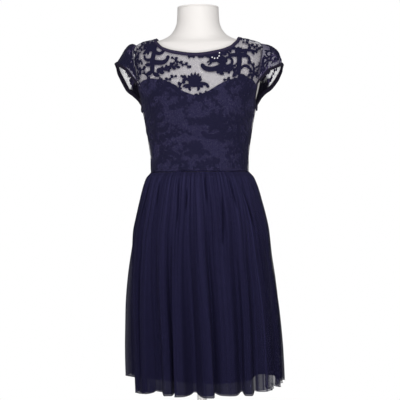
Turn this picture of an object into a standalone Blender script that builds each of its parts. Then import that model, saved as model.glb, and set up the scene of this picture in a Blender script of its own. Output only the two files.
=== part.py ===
"""A cap-sleeved cocktail dress of embroidered net on a limbless dress form with a pole stand.

Metres, +Z up, the front faces -Y and +X is the wearer's left. The origin is the centre of the
stand's flat underside. Every cloth piece is a thin closed wall that stands a set lift off the form.
"""

import math

import bpy
import numpy as np

# Driving dimensions of the dress, worn.
WAIST_HEIGHT = 1.070
SKIRT_LENGTH = 0.570
LINING_SHORTER = 0.033
UNDERARM_RISE = 0.164
SHOULDER_TIP_RISE = 0.337
CLOTH = 0.0012
SEAM_GAP = 0.0003
HALF_GAP = SEAM_GAP / 2

# How far each layer's inner face stands off the surface it is cut on, and how far the form, a
# size smaller, lies under that surface.
FORM_EASE = 0.0015
LINING_LIFT = 0.0015
NET_LIFT = LINING_LIFT + CLOTH + SEAM_GAP

# Bindings: narrow folded strips that finish the neck, sleeve and armhole edges.
NECK_BINDING_WIDTH = 0.0090
NECK_BINDING_LIFTS = (0.0022, 0.0052)
NECK_BINDING_CROWN = 0.0008
ARM_BINDING_WIDTH = 0.0050
ARM_BINDING_DEPTH = 0.0036

# The stand under the form.
FORM_FOOT_DROP = 0.330
NECK_CAP_HEIGHT = 0.005
POLE_RADIUS = 0.0125
HUB_RADIUS = 0.026
HUB_HEIGHT = 0.034
BASE_RADIUS = 0.170
BASE_HEIGHT = 0.008

QUARTER = math.pi / 2


class Rows:
    """A table whose rows are joined by smooth curves that never overshoot a row."""

    def __init__(self, names, rows, by_place=True):
        self.names = names
        self.values = np.array(rows, float)
        self.places = self.values[:, 0] if by_place else np.arange(float(len(rows)))
        self.slopes = self._slopes()

    def _slopes(self):
        step = np.diff(self.places)[:, None]
        rate = np.diff(self.values, axis=0) / step
        slopes = np.zeros_like(self.values)
        before, after = rate[:-1], rate[1:]
        same = before * after > 0
        total = np.where(same, before + after, 1.0)
        slopes[1:-1] = np.where(same, 2 * before * after / total, 0.0)
        slopes[0], slopes[-1] = rate[0], rate[-1]
        return slopes

    def at(self, place):
        """The row at that place, as a dict of its columns."""
        place = min(max(place, self.places[0]), self.places[-1])
        i = min(int(np.searchsorted(self.places, place, side="right")) - 1, len(self.places) - 2)
        span = self.places[i + 1] - self.places[i]
        t = (place - self.places[i]) / span
        start, end = self.values[i], self.values[i + 1]
        leave, arrive = self.slopes[i] * span, self.slopes[i + 1] * span
        row = (
            start * (1 + 2 * t) * (1 - t) ** 2
            + leave * t * (1 - t) ** 2
            + end * t * t * (3 - 2 * t)
            + arrive * t * t * (t - 1)
        )
        return dict(zip(self.names, row))


# The form's level sections, from its foot to the top of its neck. rise is above the waist.
BODY = Rows(
    ("rise", "half_width", "front", "back", "square"),
    [
        (-0.330, 0.1480, 0.0940, 0.1080, 0.02),
        (-0.290, 0.1560, 0.0960, 0.1150, 0.02),
        (-0.200, 0.1600, 0.0975, 0.1200, 0.02),
        (-0.150, 0.1560, 0.0965, 0.1160, 0.02),
        (-0.100, 0.1470, 0.0940, 0.1070, 0.02),
        (-0.050, 0.1350, 0.0900, 0.0950, 0.02),
        (0.000, 0.1258, 0.0860, 0.0840, 0.02),
        (0.035, 0.1258, 0.0860, 0.0835, 0.02),
        (0.066, 0.1290, 0.0870, 0.0860, 0.02),
        (0.098, 0.1340, 0.0880, 0.0910, 0.03),
        (0.130, 0.1390, 0.0900, 0.0960, 0.03),
        (0.164, 0.1460, 0.0920, 0.1000, 0.04),
        (0.193, 0.1525, 0.0935, 0.1030, 0.04),
        (0.220, 0.1600, 0.0935, 0.1040, 0.05),
        (0.246, 0.1655, 0.0925, 0.1030, 0.05),
        (0.280, 0.1700, 0.0885, 0.0990, 0.05),
        (0.306, 0.1705, 0.0835, 0.0930, 0.05),
        (0.324, 0.1690, 0.0780, 0.0850, 0.05),
        (0.3330, 0.1640, 0.0740, 0.0780, 0.04),
        (0.3390, 0.1560, 0.0705, 0.0715, 0.04),
        (0.3430, 0.1420, 0.0675, 0.0665, 0.03),
        (0.3470, 0.1220, 0.0650, 0.0620, 0.02),
        (0.3510, 0.1040, 0.0635, 0.0590, 0.01),
        (0.3565, 0.0900, 0.0620, 0.0575, 0.00),
        (0.3640, 0.0770, 0.0605, 0.0565, 0.00),
        (0.3740, 0.0680, 0.0590, 0.0560, 0.00),
        (0.3860, 0.0615, 0.0575, 0.0558, 0.00),
        (0.4000, 0.0578, 0.0565, 0.0556, 0.00),
        (0.4330, 0.0560, 0.0560, 0.0555, 0.00),
    ],
    by_place=False,
)

# Two soft cups on the front, each a bump that fades out sideways, up and down.
CUP = {"out": 0.026, "apart": 0.074, "rise": 0.155, "wide": 0.062, "up": 0.072, "down": 0.052}

# The neckline round the form: degrees from the centre front, and the rise there.
NECKLINE = Rows(
    ("degrees", "rise"),
    [
        (0, 0.3060),
        (17, 0.3140),
        (25, 0.3223),
        (30, 0.3298),
        (35, 0.3372),
        (40, 0.3414),
        (50, 0.3451),
        (60, 0.3475),
        (75, 0.3496),
        (90, 0.3505),
        (105, 0.3497),
        (120, 0.3477),
        (130, 0.3456),
        (140, 0.3428),
        (150, 0.3385),
        (165, 0.3310),
        (180, 0.3285),
    ],
)

# The lining's top edge, from its middle to the armhole: a sweetheart in front, level behind.
LINING_TOP = {
    "front": Rows(
        ("share", "rise"),
        [(0.0, 0.1950), (0.12, 0.2030), (0.35, 0.2300), (0.60, 0.2425), (0.80, 0.2390), (1.0, 0.2240)],
    ),
    "back": Rows(("share", "rise"), [(0.0, 0.2000), (0.6, 0.2040), (1.0, 0.2180)]),
}

# How far the armhole cuts into the front and the back, measured round from the side seam.
ARMHOLE_CUT = {"front": math.radians(26), "back": math.radians(28)}

# The left cap sleeve: how far its free edge stands from its seam, outwards, backwards and up, and
# how far the gathered head puffs up between them. turn is the place on the armhole, from the
# underarm (-1) up the front to the shoulder (0) and down the back to the underarm (1).
SLEEVE = Rows(
    ("turn", "out", "behind", "up", "puff"),
    [
        (-0.54, 0.0030, 0.0030, -0.0010, 0.0000),
        (-0.45, 0.0106, 0.0029, -0.0104, 0.0030),
        (-0.35, 0.0185, 0.0000, -0.0199, 0.0065),
        (-0.25, 0.0285, -0.0010, -0.0317, 0.0095),
        (-0.10, 0.0475, -0.0010, -0.0421, 0.0125),
        (0.00, 0.0560, 0.0000, -0.0465, 0.0130),
        (0.12, 0.0490, 0.0042, -0.0483, 0.0125),
        (0.25, 0.0375, 0.0083, -0.0531, 0.0100),
        (0.38, 0.0300, 0.0100, -0.0454, 0.0080),
        (0.50, 0.0200, 0.0097, -0.0302, 0.0050),
        (0.62, 0.0105, 0.0060, -0.0145, 0.0020),
        (0.70, 0.0060, 0.0010, -0.0065, 0.0005),
        (0.76, 0.0030, -0.0030, -0.0010, 0.0000),
    ],
)

# The skirt's level sections at the foot of its folds. drop is below the waist seam.
SKIRT = Rows(
    ("drop", "half_width", "shift", "front", "back", "square_back"),
    [
        (0.000, 0.1300, 0.0000, 0.0902, 0.0882, 0.02),
        (0.014, 0.1400, 0.0002, 0.1010, 0.0990, 0.02),
        (0.030, 0.1462, 0.0004, 0.1050, 0.1060, 0.02),
        (0.060, 0.1550, 0.0010, 0.1085, 0.1140, 0.03),
        (0.110, 0.1675, 0.0015, 0.1110, 0.1240, 0.04),
        (0.160, 0.1765, 0.0010, 0.1110, 0.1310, 0.05),
        (0.220, 0.1790, 0.0015, 0.1100, 0.1360, 0.06),
        (0.290, 0.1830, 0.0040, 0.1095, 0.1400, 0.07),
        (0.360, 0.1845, 0.0070, 0.1090, 0.1430, 0.08),
        (0.430, 0.1835, 0.0100, 0.1085, 0.1460, 0.09),
        (0.500, 0.1825, 0.0120, 0.1080, 0.1490, 0.10),
        (0.570, 0.1820, 0.0140, 0.1080, 0.1520, 0.10),
    ],
)
SKIRT_SQUARE_FRONT = 0.02
# The hem rides up a little behind, and more on the wearer's right.
HEM_RISE = Rows(
    ("degrees", "rise"),
    [
        (-180, 0.014),
        (-150, 0.017),
        (-125, 0.026),
        (-106, 0.025),
        (-92, 0.004),
        (-82, 0.000),
        (40, 0.000),
        (46, 0.007),
        (60, 0.010),
        (102, 0.010),
        (125, 0.014),
        (180, 0.014),
    ],
)
GATHERS = 72
MERGED_GATHERS = GATHERS // 2
# How high the gathers stand at each drop, at the seam and once they have merged in pairs.
GATHER_HEIGHT = Rows(
    ("drop", "fine", "merged"),
    [
        (0.000, 0.0014, 0.0000),
        (0.014, 0.0032, 0.0004),
        (0.045, 0.0022, 0.0024),
        (0.090, 0.0000, 0.0042),
        (0.220, 0.0000, 0.0034),
        (0.400, 0.0000, 0.0020),
        (0.570, 0.0000, 0.0012),
    ],
)

# The folds that the gathers fall into: where each one is, half its width and its height at the
# hem, and how far below the waist it starts.
FOLDS = [
    {"degrees": -175, "half": 7, "height": 0.028, "start": 0.060},
    {"degrees": -161, "half": 7, "height": 0.024, "start": 0.110},
    {"degrees": -147, "half": 7, "height": 0.028, "start": 0.050},
    {"degrees": -130, "half": 8, "height": 0.028, "start": 0.090},
    {"degrees": -110, "half": 10, "height": 0.054, "start": 0.050},
    {"degrees": -95, "half": 5, "height": 0.008, "start": 0.120},
    {"degrees": -84, "half": 7, "height": 0.006, "start": 0.080},
    {"degrees": -63, "half": 8, "height": 0.024, "start": 0.060},
    {"degrees": -48, "half": 6, "height": 0.022, "start": 0.130},
    {"degrees": -29, "half": 6, "height": 0.026, "start": 0.040},
    {"degrees": -15, "half": 7, "height": 0.030, "start": 0.100},
    {"degrees": 1, "half": 7, "height": 0.040, "start": 0.050},
    {"degrees": 18, "half": 11, "height": 0.018, "start": 0.040},
    {"degrees": 36, "half": 6, "height": 0.024, "start": 0.080},
    {"degrees": 49, "half": 7, "height": 0.024, "start": 0.050},
    {"degrees": 63, "half": 6, "height": 0.016, "start": 0.110},
    {"degrees": 74, "half": 5, "height": 0.016, "start": 0.060},
    {"degrees": 86, "half": 7, "height": 0.010, "start": 0.080},
    {"degrees": 101, "half": 7, "height": 0.018, "start": 0.050},
    {"degrees": 116, "half": 8, "height": 0.026, "start": 0.120},
    {"degrees": 132, "half": 8, "height": 0.028, "start": 0.060},
    {"degrees": 147, "half": 7, "height": 0.026, "start": 0.040},
    {"degrees": 160, "half": 6, "height": 0.024, "start": 0.090},
    {"degrees": 172, "half": 6, "height": 0.026, "start": 0.150},
]
# Below 1 the folds have round backs and steep sides.
FOLD_ROUNDNESS = 0.8

# Mesh fineness. The skirt has three points to a gather, and four to a merged one.
FORM_SIDES = 32
POLE_SIDES = 20
PANEL_COLUMNS = 18
SLEEVE_ROWS = 4
SLEEVE_COLUMNS = 24
FINE_SIDES = 3 * GATHERS
COARSE_SIDES = 4 * MERGED_GATHERS
LINING_SIDES = 48
FINE_DROPS = (0.000, 0.014, 0.045)
COARSE_DROPS = (0.090, 0.160, 0.250, 0.350, 0.460, SKIRT_LENGTH)
LINING_DROPS = (0.000, 0.014, 0.060, 0.150, 0.280, 0.410, SKIRT_LENGTH - LINING_SHORTER)


# --- The form's surface, on which the bodice is cut ---------------------------------------------


def unit(vector):
    return vector / np.linalg.norm(vector)


def oval(half_width, depth, square, angle):
    """A point of a slightly squared oval. Angle 0 is the front and a quarter turn is +X."""
    x = half_width * (math.sin(angle) + square * math.sin(3 * angle)) / (1 - square)
    y = -depth * (math.cos(angle) - square * math.cos(3 * angle)) / (1 - square)
    return x, y


def cup_at(x, rise):
    spread = CUP["up"] if rise > CUP["rise"] else CUP["down"]
    height = math.exp(-(((rise - CUP["rise"]) / spread) ** 2))
    across = sum(math.exp(-(((x - side * CUP["apart"]) / CUP["wide"]) ** 2)) for side in (-1, 1))
    return CUP["out"] * height * across


def body_point(station, angle):
    """A point of the form's surface, at a station between its rows and an angle round it."""
    row = BODY.at(station)
    ahead = math.cos(angle)
    depth = row["front"] if ahead > 0 else row["back"]
    x, y = oval(row["half_width"], depth, row["square"], angle)
    if ahead > 0:
        y -= cup_at(x, row["rise"]) * min(1.0, 2.5 * ahead)
    return np.array([x, y, WAIST_HEIGHT + row["rise"]])


def body_normal(station, angle):
    small_turn, small_step = 0.01, 0.02
    round_it = body_point(station, angle + small_turn) - body_point(station, angle - small_turn)
    up_it = body_point(station + small_step, angle) - body_point(station - small_step, angle)
    return unit(np.cross(round_it, up_it))


def on_body(station, angle, lift):
    """A point that stands lift off the form, measured square to its surface."""
    return body_point(station, angle) + lift * body_normal(station, angle)


STATION_STEPS = np.linspace(0, len(BODY.places) - 1, 1500)
STATION_RISES = np.array([BODY.at(s)["rise"] for s in STATION_STEPS])


def station_at(rise):
    return float(np.interp(rise, STATION_RISES, STATION_STEPS))


def slide_down(station, angle, distance):
    """The station that lies distance below this one, along the form's surface."""
    stations = np.linspace(station, station - 3, 90)
    path = np.array([body_point(s, angle) for s in stations])
    walked = np.concatenate([[0], np.cumsum(np.linalg.norm(np.diff(path, axis=0), axis=1))])
    return float(np.interp(distance, walked, stations))


def neckline_station(angle, below=0.0):
    rise = NECKLINE.at(abs(math.degrees(angle)))["rise"]
    return slide_down(station_at(rise), angle, below)


ARMHOLE_MIDDLE = (UNDERARM_RISE + SHOULDER_TIP_RISE) / 2
ARMHOLE_HALF = (SHOULDER_TIP_RISE - UNDERARM_RISE) / 2


def armhole(turn, inset=0.0):
    """Rise and angle on the left armhole's oval, drawn inwards by the inset share."""
    cut = ARMHOLE_CUT["front"] if turn < 0 else ARMHOLE_CUT["back"]
    share = 1 - inset
    rise = ARMHOLE_MIDDLE + share * ARMHOLE_HALF * math.cos(math.pi * turn)
    angle = QUARTER + share * cut * math.sin(math.pi * turn)
    return rise, angle


# --- Turning rows of points into closed walls ---------------------------------------------------


def material(name, colour, roughness, metallic=0.0, alpha=1.0):
    made = bpy.data.materials.new(name)
    made.use_nodes = True
    shader = made.node_tree.nodes["Principled BSDF"]
    shader.inputs["Base Color"].default_value = (*colour, 1)
    shader.inputs["Roughness"].default_value = roughness
    shader.inputs["Metallic"].default_value = metallic
    shader.inputs["Alpha"].default_value = alpha
    return made


def add_object(name, points, faces, finish):
    mesh = bpy.data.meshes.new(name)
    mesh.from_pydata([tuple(p) for p in points], [], faces)
    mesh.validate()
    mesh.shade_smooth()
    mesh.set_sharp_from_angle(angle=math.radians(50))
    mesh.materials.append(finish)
    obj = bpy.data.objects.new(name, mesh)
    bpy.context.scene.collection.objects.link(obj)
    return obj


def stitch(upper, lower):
    """Triangles between two rows of point numbers, which may have different numbers of points.

    Layers that lie on each other are split along the same diagonals, so that they nest.
    """
    faces, i, j = [], 0, 0
    spans, lower_spans = len(upper) - 1, len(lower) - 1
    while i < spans or j < lower_spans:
        if i == spans or (j < lower_spans and (j + 1) * spans <= (i + 1) * lower_spans):
            faces.append((upper[i], lower[j], lower[j + 1]))
            j += 1
        else:
            faces.append((upper[i], lower[j], upper[i + 1]))
            i += 1
    return faces


def wall(name, outer, inner, finish):
    """A closed wall between an outer and an inner sheet, each a list of rows from top to bottom.

    Rows run towards growing angle as seen from outside.
    """
    points, rows = [], {"outer": [], "inner": []}
    for side, sheet in (("outer", outer), ("inner", inner)):
        for row in sheet:
            rows[side].append(list(range(len(points), len(points) + len(row))))
            points += row
    faces = []
    for side in rows:
        for upper, lower in zip(rows[side], rows[side][1:]):
            made = stitch(upper, lower)
            faces += made if side == "outer" else [face[::-1] for face in made]
    faces += stitch(rows["inner"][0], rows["outer"][0])
    faces += stitch(rows["outer"][-1], rows["inner"][-1])
    first = [[row[0] for row in rows[side]] for side in ("inner", "outer")]
    last = [[row[-1] for row in rows[side]] for side in ("outer", "inner")]
    for left, right in (first, last):
        faces += [(left[i], left[i + 1], right[i + 1], right[i]) for i in range(len(left) - 1)]
    return add_object(name, points, faces, finish)


def loft(name, rings, finish):
    """A solid through closed rings, from bottom to top, with flat ends."""
    sides = len(rings[0])
    points = [p for ring in rings for p in ring]
    faces = [tuple(range(sides))[::-1], tuple(range(len(points) - sides, len(points)))]
    for k in range(len(rings) - 1):
        for i in range(sides):
            j = (i + 1) % sides
            faces.append((k * sides + i, k * sides + j, (k + 1) * sides + j, (k + 1) * sides + i))
    return add_object(name, points, faces, finish)


def strip(name, sections, closed, finish):
    """The same outline of points at each station: a closed ring, or a strip with two ends."""
    count, sides = len(sections), len(sections[0])
    points = [p for section in sections for p in section]
    faces = []
    if not closed:
        faces = [tuple(range(sides)), tuple(range(len(points) - sides, len(points)))[::-1]]
    for k in range(count if closed else count - 1):
        after = (k + 1) % count
        for i in range(sides):
            j = (i + 1) % sides
            faces.append((k * sides + i, after * sides + i, after * sides + j, k * sides + j))
    return add_object(name, points, faces, finish)


def turned(name, profile, sides, finish):
    """A solid of revolution from (radius, height) pairs that run from bottom to top."""
    turns = [2 * math.pi * i / sides for i in range(sides)]
    rings = [[np.array([r * math.cos(t), r * math.sin(t), z]) for t in turns] for r, z in profile]
    return loft(name, rings, finish)


# --- Bodice panels ------------------------------------------------------------------------------

SIDE_RISES = (2 * HALF_GAP, 0.040, 0.080, 0.118, 0.148)
UNDERARM_TURNS = (1.0, 0.92, 0.84, 0.76, 0.68)
SHOULDER_TURNS = (0.48, 0.36, 0.24, 0.12, 0.0)
SHOULDER_SHARES = (0.35, 0.7, 1.0)
LATE_BEND = 5


def corner_turn(facing):
    """Where the lining's top edge meets the armhole."""
    rise = LINING_TOP[facing].at(1)["rise"]
    return math.acos((rise - ARMHOLE_MIDDLE) / ARMHOLE_HALF) / math.pi


def on_armhole(turn, facing):
    rise, angle = armhole(-turn if facing == "front" else turn)
    return station_at(rise), angle


def lower_side(facing):
    """(station, angle) up the side seam and the lower armhole to the lining's top corner."""
    path = [(station_at(rise), QUARTER) for rise in SIDE_RISES]
    return path + [on_armhole(turn, facing) for turn in UNDERARM_TURNS + (corner_turn(facing),)]


def upper_side(facing):
    """(station, angle) from that corner up the armhole and along the shoulder seam."""
    turns = (corner_turn(facing),) + SHOULDER_TURNS
    path = [on_armhole(turn, facing) for turn in turns]
    tip, neck = path[-1][0], neckline_station(QUARTER, NECK_BINDING_WIDTH + SEAM_GAP)
    return path + [(tip + share * (neck - tip), QUARTER) for share in SHOULDER_SHARES]


def lining_edge(across, facing):
    return station_at(LINING_TOP[facing].at(abs(across))["rise"])


def net_edge(across, facing):
    angle = abs(across) * QUARTER
    if facing == "back":
        angle = math.pi - angle
    return neckline_station(angle, NECK_BINDING_WIDTH + SEAM_GAP)


def panel_rows(side, low_edge, high_edge, facing, bend):
    """Rows of (station, angle, across) that climb between two edges as the side path climbs.

    Above a level low edge, bend tells how late the rows take on the shape of the high edge.
    """
    foot, head = side[0][0], side[-1][0]
    rows = []
    for station, edge in side:
        climbed = (station - foot) / (head - foot)
        reach = math.pi - edge if facing == "back" else edge
        row = []
        for column in range(PANEL_COLUMNS + 1):
            across = 2 * column / PANEL_COLUMNS - 1
            angle = across * reach + (math.pi if facing == "back" else 0)
            low, high = low_edge(across, facing) - foot, high_edge(across, facing) - head
            row.append((station + (1 - climbed) * low + climbed**bend * high, angle, across))
        rows.append(row)
    return rows


def seam_ease(across, part):
    """Seams stand half the gap off the plane that they share, at the side and the centre back."""
    if abs(across) == 1:
        return np.array([0, -HALF_GAP if part == "front" else HALF_GAP, 0])
    if across == 0 and part != "front":
        return np.array([HALF_GAP if part == "back_left" else -HALF_GAP, 0, 0])
    return np.zeros(3)


def panel(layer, part, rows, lift, finish):
    """A bodice panel through rows that climb from the waist, lift off the form."""
    middle = PANEL_COLUMNS // 2
    kept = {"front": slice(None), "back_left": slice(0, middle + 1), "back_right": slice(middle, None)}
    sheets = []
    for out in (lift + CLOTH, lift):
        sheet = []
        for row in reversed(rows):
            sheet.append([on_body(s, a, out) + seam_ease(x, part) for s, a, x in row[kept[part]]])
        sheets.append(sheet)
    wall(f"{layer}_{part}", *sheets, finish)


# The back is cut in two, for the concealed zip between its halves.
PARTS = ("front", "back_left", "back_right")


def bodice(net, lining):
    """The net panels have a row along the lining's top edge, so that the two layers nest."""

    def waist(across, facing):
        return station_at(SIDE_RISES[0])

    for part in PARTS:
        facing = part.split("_")[0]
        lower = panel_rows(lower_side(facing), waist, lining_edge, facing, LATE_BEND)
        upper = panel_rows(upper_side(facing), lining_edge, net_edge, facing, 1)
        panel("bodice_net", part, lower + upper[1:], NET_LIFT, net)
        panel("bodice_lining", part, lower, LINING_LIFT, lining)


# --- Cap sleeves and bindings -------------------------------------------------------------------

SEAM_INSET = 0.012
SLEEVE_FRONT, SLEEVE_BACK = SLEEVE.places[0], SLEEVE.places[-1]
SLEEVE_GATHERS = 8
SLEEVE_GATHER_HEIGHT = 0.0016


def seam_turns():
    """The panels' own stations round the armhole, from the underarm up the front and back down."""
    front = UNDERARM_TURNS + (corner_turn("front"),) + SHOULDER_TURNS
    back = SHOULDER_TURNS[::-1] + (corner_turn("back"),) + UNDERARM_TURNS[::-1]
    return [-turn for turn in front] + list(back[1:])


SEAM_TURNS = seam_turns()


def seam_point(turn):
    """A point just inside the armhole, on the straight facets of the panels' edges."""
    last = min(int(np.searchsorted(SEAM_TURNS, turn, side="right")), len(SEAM_TURNS) - 1)
    ends = SEAM_TURNS[last - 1], SEAM_TURNS[last]
    spots = []
    for end in ends:
        rise, angle = armhole(end, SEAM_INSET)
        spots.append(on_body(station_at(rise), angle, NET_LIFT + CLOTH / 2))
    share = (turn - ends[0]) / (ends[1] - ends[0])
    return spots[0] + share * (spots[1] - spots[0])


def sleeve_point(turn, share):
    """A point of the left sleeve's middle sheet, from its seam (0) to its free edge (1)."""
    row = SLEEVE.at(turn)
    fall = np.array([row["out"], row["behind"], row["up"]])
    # The head puffs up a third of the way down, and its gathers fade towards the free edge.
    along = (turn - SLEEVE_FRONT) / (SLEEVE_BACK - SLEEVE_FRONT)
    wave = math.cos(2 * math.pi * SLEEVE_GATHERS * along) * math.sin(math.pi * along)
    puff = row["puff"] + SLEEVE_GATHER_HEIGHT * wave
    up = np.array([0.45, 0.8 * math.sin(math.pi * turn / 2), 0.9])
    return seam_point(turn) + fall * share + unit(up) * puff * share * (1 - share) ** 2 * 27 / 4


def sleeve_normal(turn, share):
    low, high = max(turn - 0.02, SLEEVE_FRONT), min(turn + 0.02, SLEEVE_BACK)
    near, far = max(share - 0.05, 0.0), min(share + 0.05, 1.0)
    round_it = sleeve_point(high, share) - sleeve_point(low, share)
    out_it = sleeve_point(turn, far) - sleeve_point(turn, near)
    return unit(np.cross(out_it, round_it))


def mirrored(sheet):
    """The same rows for the right side, run the other way so that they still face out."""
    return [[p * np.array([-1, 1, 1]) for p in row][::-1] for row in sheet]


def sleeve_turns():
    return [float(t) for t in np.linspace(SLEEVE_FRONT, SLEEVE_BACK, SLEEVE_COLUMNS + 1)]


def sleeves(net):
    sheets = []
    for out in (CLOTH / 2, -CLOTH / 2):
        sheet = []
        for share in np.linspace(0, 1, SLEEVE_ROWS + 1):
            sheet.append([sleeve_point(t, share) + out * sleeve_normal(t, share) for t in sleeve_turns()])
        sheets.append(sheet)
    wall("sleeve_left", *sheets, net)
    wall("sleeve_right", *[mirrored(sheet) for sheet in sheets], net)


def neck_binding(finish):
    """It runs from one side of the zip round the neck to the other."""
    sections = []
    low, high = NECK_BINDING_LIFTS
    shoulder = high - NECK_BINDING_CROWN
    for k in range(2 * PANEL_COLUMNS + 1):
        share = k / PANEL_COLUMNS - 1
        angle = math.pi * share
        edge = neckline_station(angle)
        foot = neckline_station(angle, NECK_BINDING_WIDTH)
        middle = (edge + foot) / 2
        outline = [(foot, low), (foot, shoulder), (middle, high), (edge, shoulder), (edge, low)]
        aside = np.array([share * HALF_GAP * (abs(share) == 1), 0, 0])
        sections.append([on_body(station, angle, lift) + aside for station, lift in outline])
    strip("neck_binding", sections, False, finish)


def binding_section(edge, along, normal, gap):
    """The folded strip's outline where it lies past an edge of cloth that runs along."""
    away = unit(np.cross(along, normal))
    half_width, half_depth = ARM_BINDING_WIDTH / 2, ARM_BINDING_DEPTH / 2
    centre = edge + (gap + half_width) * away
    outline = [(-1, 0.7), (0.3, 1), (1, 0.35), (1, -0.35), (0.3, -1), (-1, -0.7)]
    return [centre + a * half_width * away + n * half_depth * normal for a, n in outline]


def on_sleeve_edge(turn):
    before, after = max(turn - 0.025, SLEEVE_FRONT), min(turn + 0.025, SLEEVE_BACK)
    along = unit(sleeve_point(after, 1) - sleeve_point(before, 1))
    return binding_section(sleeve_point(turn, 1), along, sleeve_normal(turn, 1), 3 * SEAM_GAP)


def on_underarm(turn):
    lift = (LINING_LIFT + NET_LIFT + CLOTH) / 2
    spots = []
    for near in (turn - 0.04, turn, turn + 0.04):
        rise, angle = armhole(near)
        spots.append(on_body(station_at(rise), angle, lift))
    rise, angle = armhole(turn)
    normal = body_normal(station_at(rise), angle)
    return binding_section(spots[1], unit(spots[2] - spots[0]), normal, 2 * SEAM_GAP)


def arm_bindings(finish):
    sections = [on_underarm(turn) for turn in SEAM_TURNS if turn < SLEEVE_FRONT - 0.03]
    sections += [on_sleeve_edge(turn) for turn in sleeve_turns()]
    sections += [on_underarm(turn) for turn in SEAM_TURNS[:-1] if turn > SLEEVE_BACK + 0.03]
    flip = np.array([-1, 1, 1])
    strip("armhole_binding_left", sections[::-1], True, finish)
    strip("armhole_binding_right", [[p * flip for p in section] for section in sections], True, finish)


# --- Skirt --------------------------------------------------------------------------------------


def smooth_step(value):
    value = min(max(value, 0.0), 1.0)
    return value * value * (3 - 2 * value)


def fold_height(angle, drop):
    """How far the folds lift the skirt off its plain section there."""
    total = 0.0
    for fold in FOLDS:
        apart = (math.degrees(angle) - fold["degrees"] + 180) % 360 - 180
        if abs(apart) >= fold["half"]:
            continue
        grown = smooth_step((drop - fold["start"]) / (SKIRT_LENGTH - fold["start"])) ** 0.6
        shape = ((1 + math.cos(math.pi * apart / fold["half"])) / 2) ** FOLD_ROUNDNESS
        total = max(total, fold["height"] * grown * shape)
    return total


def gather_height(angle, drop):
    row = GATHER_HEIGHT.at(drop)
    uneven = 0.8 + 0.2 * math.sin(5 * angle + 1.1) * math.cos(3 * angle)
    fine = (1 + math.cos(GATHERS * angle)) / 2
    merged = (1 + math.cos(MERGED_GATHERS * angle)) / 2
    return uneven * (row["fine"] * fine + row["merged"] * merged)


def skirt_point(angle, drop, inside, folded):
    """A point of the skirt, moved inwards from its plain section by inside."""
    row = SKIRT.at(drop)
    ahead = math.cos(angle) > 0
    half_width = row["half_width"] - inside
    depth = (row["front"] if ahead else row["back"]) - inside
    x, y = oval(half_width, depth, SKIRT_SQUARE_FRONT if ahead else row["square_back"], angle)
    if folded:
        out = unit(np.array([math.sin(angle) / half_width, -math.cos(angle) / depth]))
        height = fold_height(angle, drop) + gather_height(angle, drop)
        x, y = x + out[0] * height, y + out[1] * height
    rise = HEM_RISE.at(math.degrees((angle + math.pi) % (2 * math.pi) - math.pi))["rise"]
    fall = drop * (1 - rise / SKIRT_LENGTH)
    return np.array([x + row["shift"], y, WAIST_HEIGHT - HALF_GAP - fall])


def skirt_ring(sides, drop, inside, folded):
    """Outer and inner points all round, from the centre back by way of the wearer's right."""
    angles = [-math.pi + 2 * math.pi * i / sides for i in range(sides)]
    outer = [skirt_point(a, drop, inside, folded) for a in angles]
    inner = []
    for i, point in enumerate(outer):
        along = outer[(i + 1) % sides] - outer[i - 1]
        inward = unit(np.array([-along[1], along[0], 0]))
        inner.append(point + CLOTH * inward)
    return outer, inner


# Each skirt panel's first quarter turn from the centre back, and how many quarters it spans.
SKIRT_QUARTERS = {"front": (1, 2), "back_left": (3, 1), "back_right": (0, 1)}


def panel_arc(ring, part, middle):
    """One panel's points of a ring, its ends moved onto the planes of its seams."""
    quarter = len(ring) // 4
    first, quarters = SKIRT_QUARTERS[part]
    picked = [ring[(first * quarter + i) % len(ring)].copy() for i in range(quarters * quarter + 1)]
    if part == "front":
        picked[0][1] = picked[-1][1] = -HALF_GAP
    elif part == "back_left":
        picked[0][1], picked[-1][0] = HALF_GAP, middle + HALF_GAP
    else:
        picked[0][0], picked[-1][1] = middle - HALF_GAP, HALF_GAP
    return picked


def skirt_layer(layer, levels, inside_at, folded, finish):
    """The panels of one layer through level rings. levels holds (sides, drop) pairs."""
    rings = [(skirt_ring(sides, drop, inside_at(drop), folded), drop) for sides, drop in levels]
    for part in PARTS:
        sheets = []
        for side in (0, 1):
            sheets.append([panel_arc(ring[side], part, SKIRT.at(drop)["shift"]) for ring, drop in rings])
        wall(f"{layer}_{part}", *sheets, finish)


def lining_inside(drop):
    """The skirt lining hangs this far inside the net skirt's plain section."""
    return CLOTH + SEAM_GAP + 0.0025 * smooth_step(drop / 0.1)


def no_inside(drop):
    return 0.0


def skirt(net, lining):
    levels = [(FINE_SIDES, drop) for drop in FINE_DROPS] + [(COARSE_SIDES, drop) for drop in COARSE_DROPS]
    skirt_layer("skirt_net", levels, no_inside, True, net)
    levels = [(LINING_SIDES, drop) for drop in LINING_DROPS]
    skirt_layer("skirt_lining", levels, lining_inside, False, lining)


# --- Dress form and stand -----------------------------------------------------------------------


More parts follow.
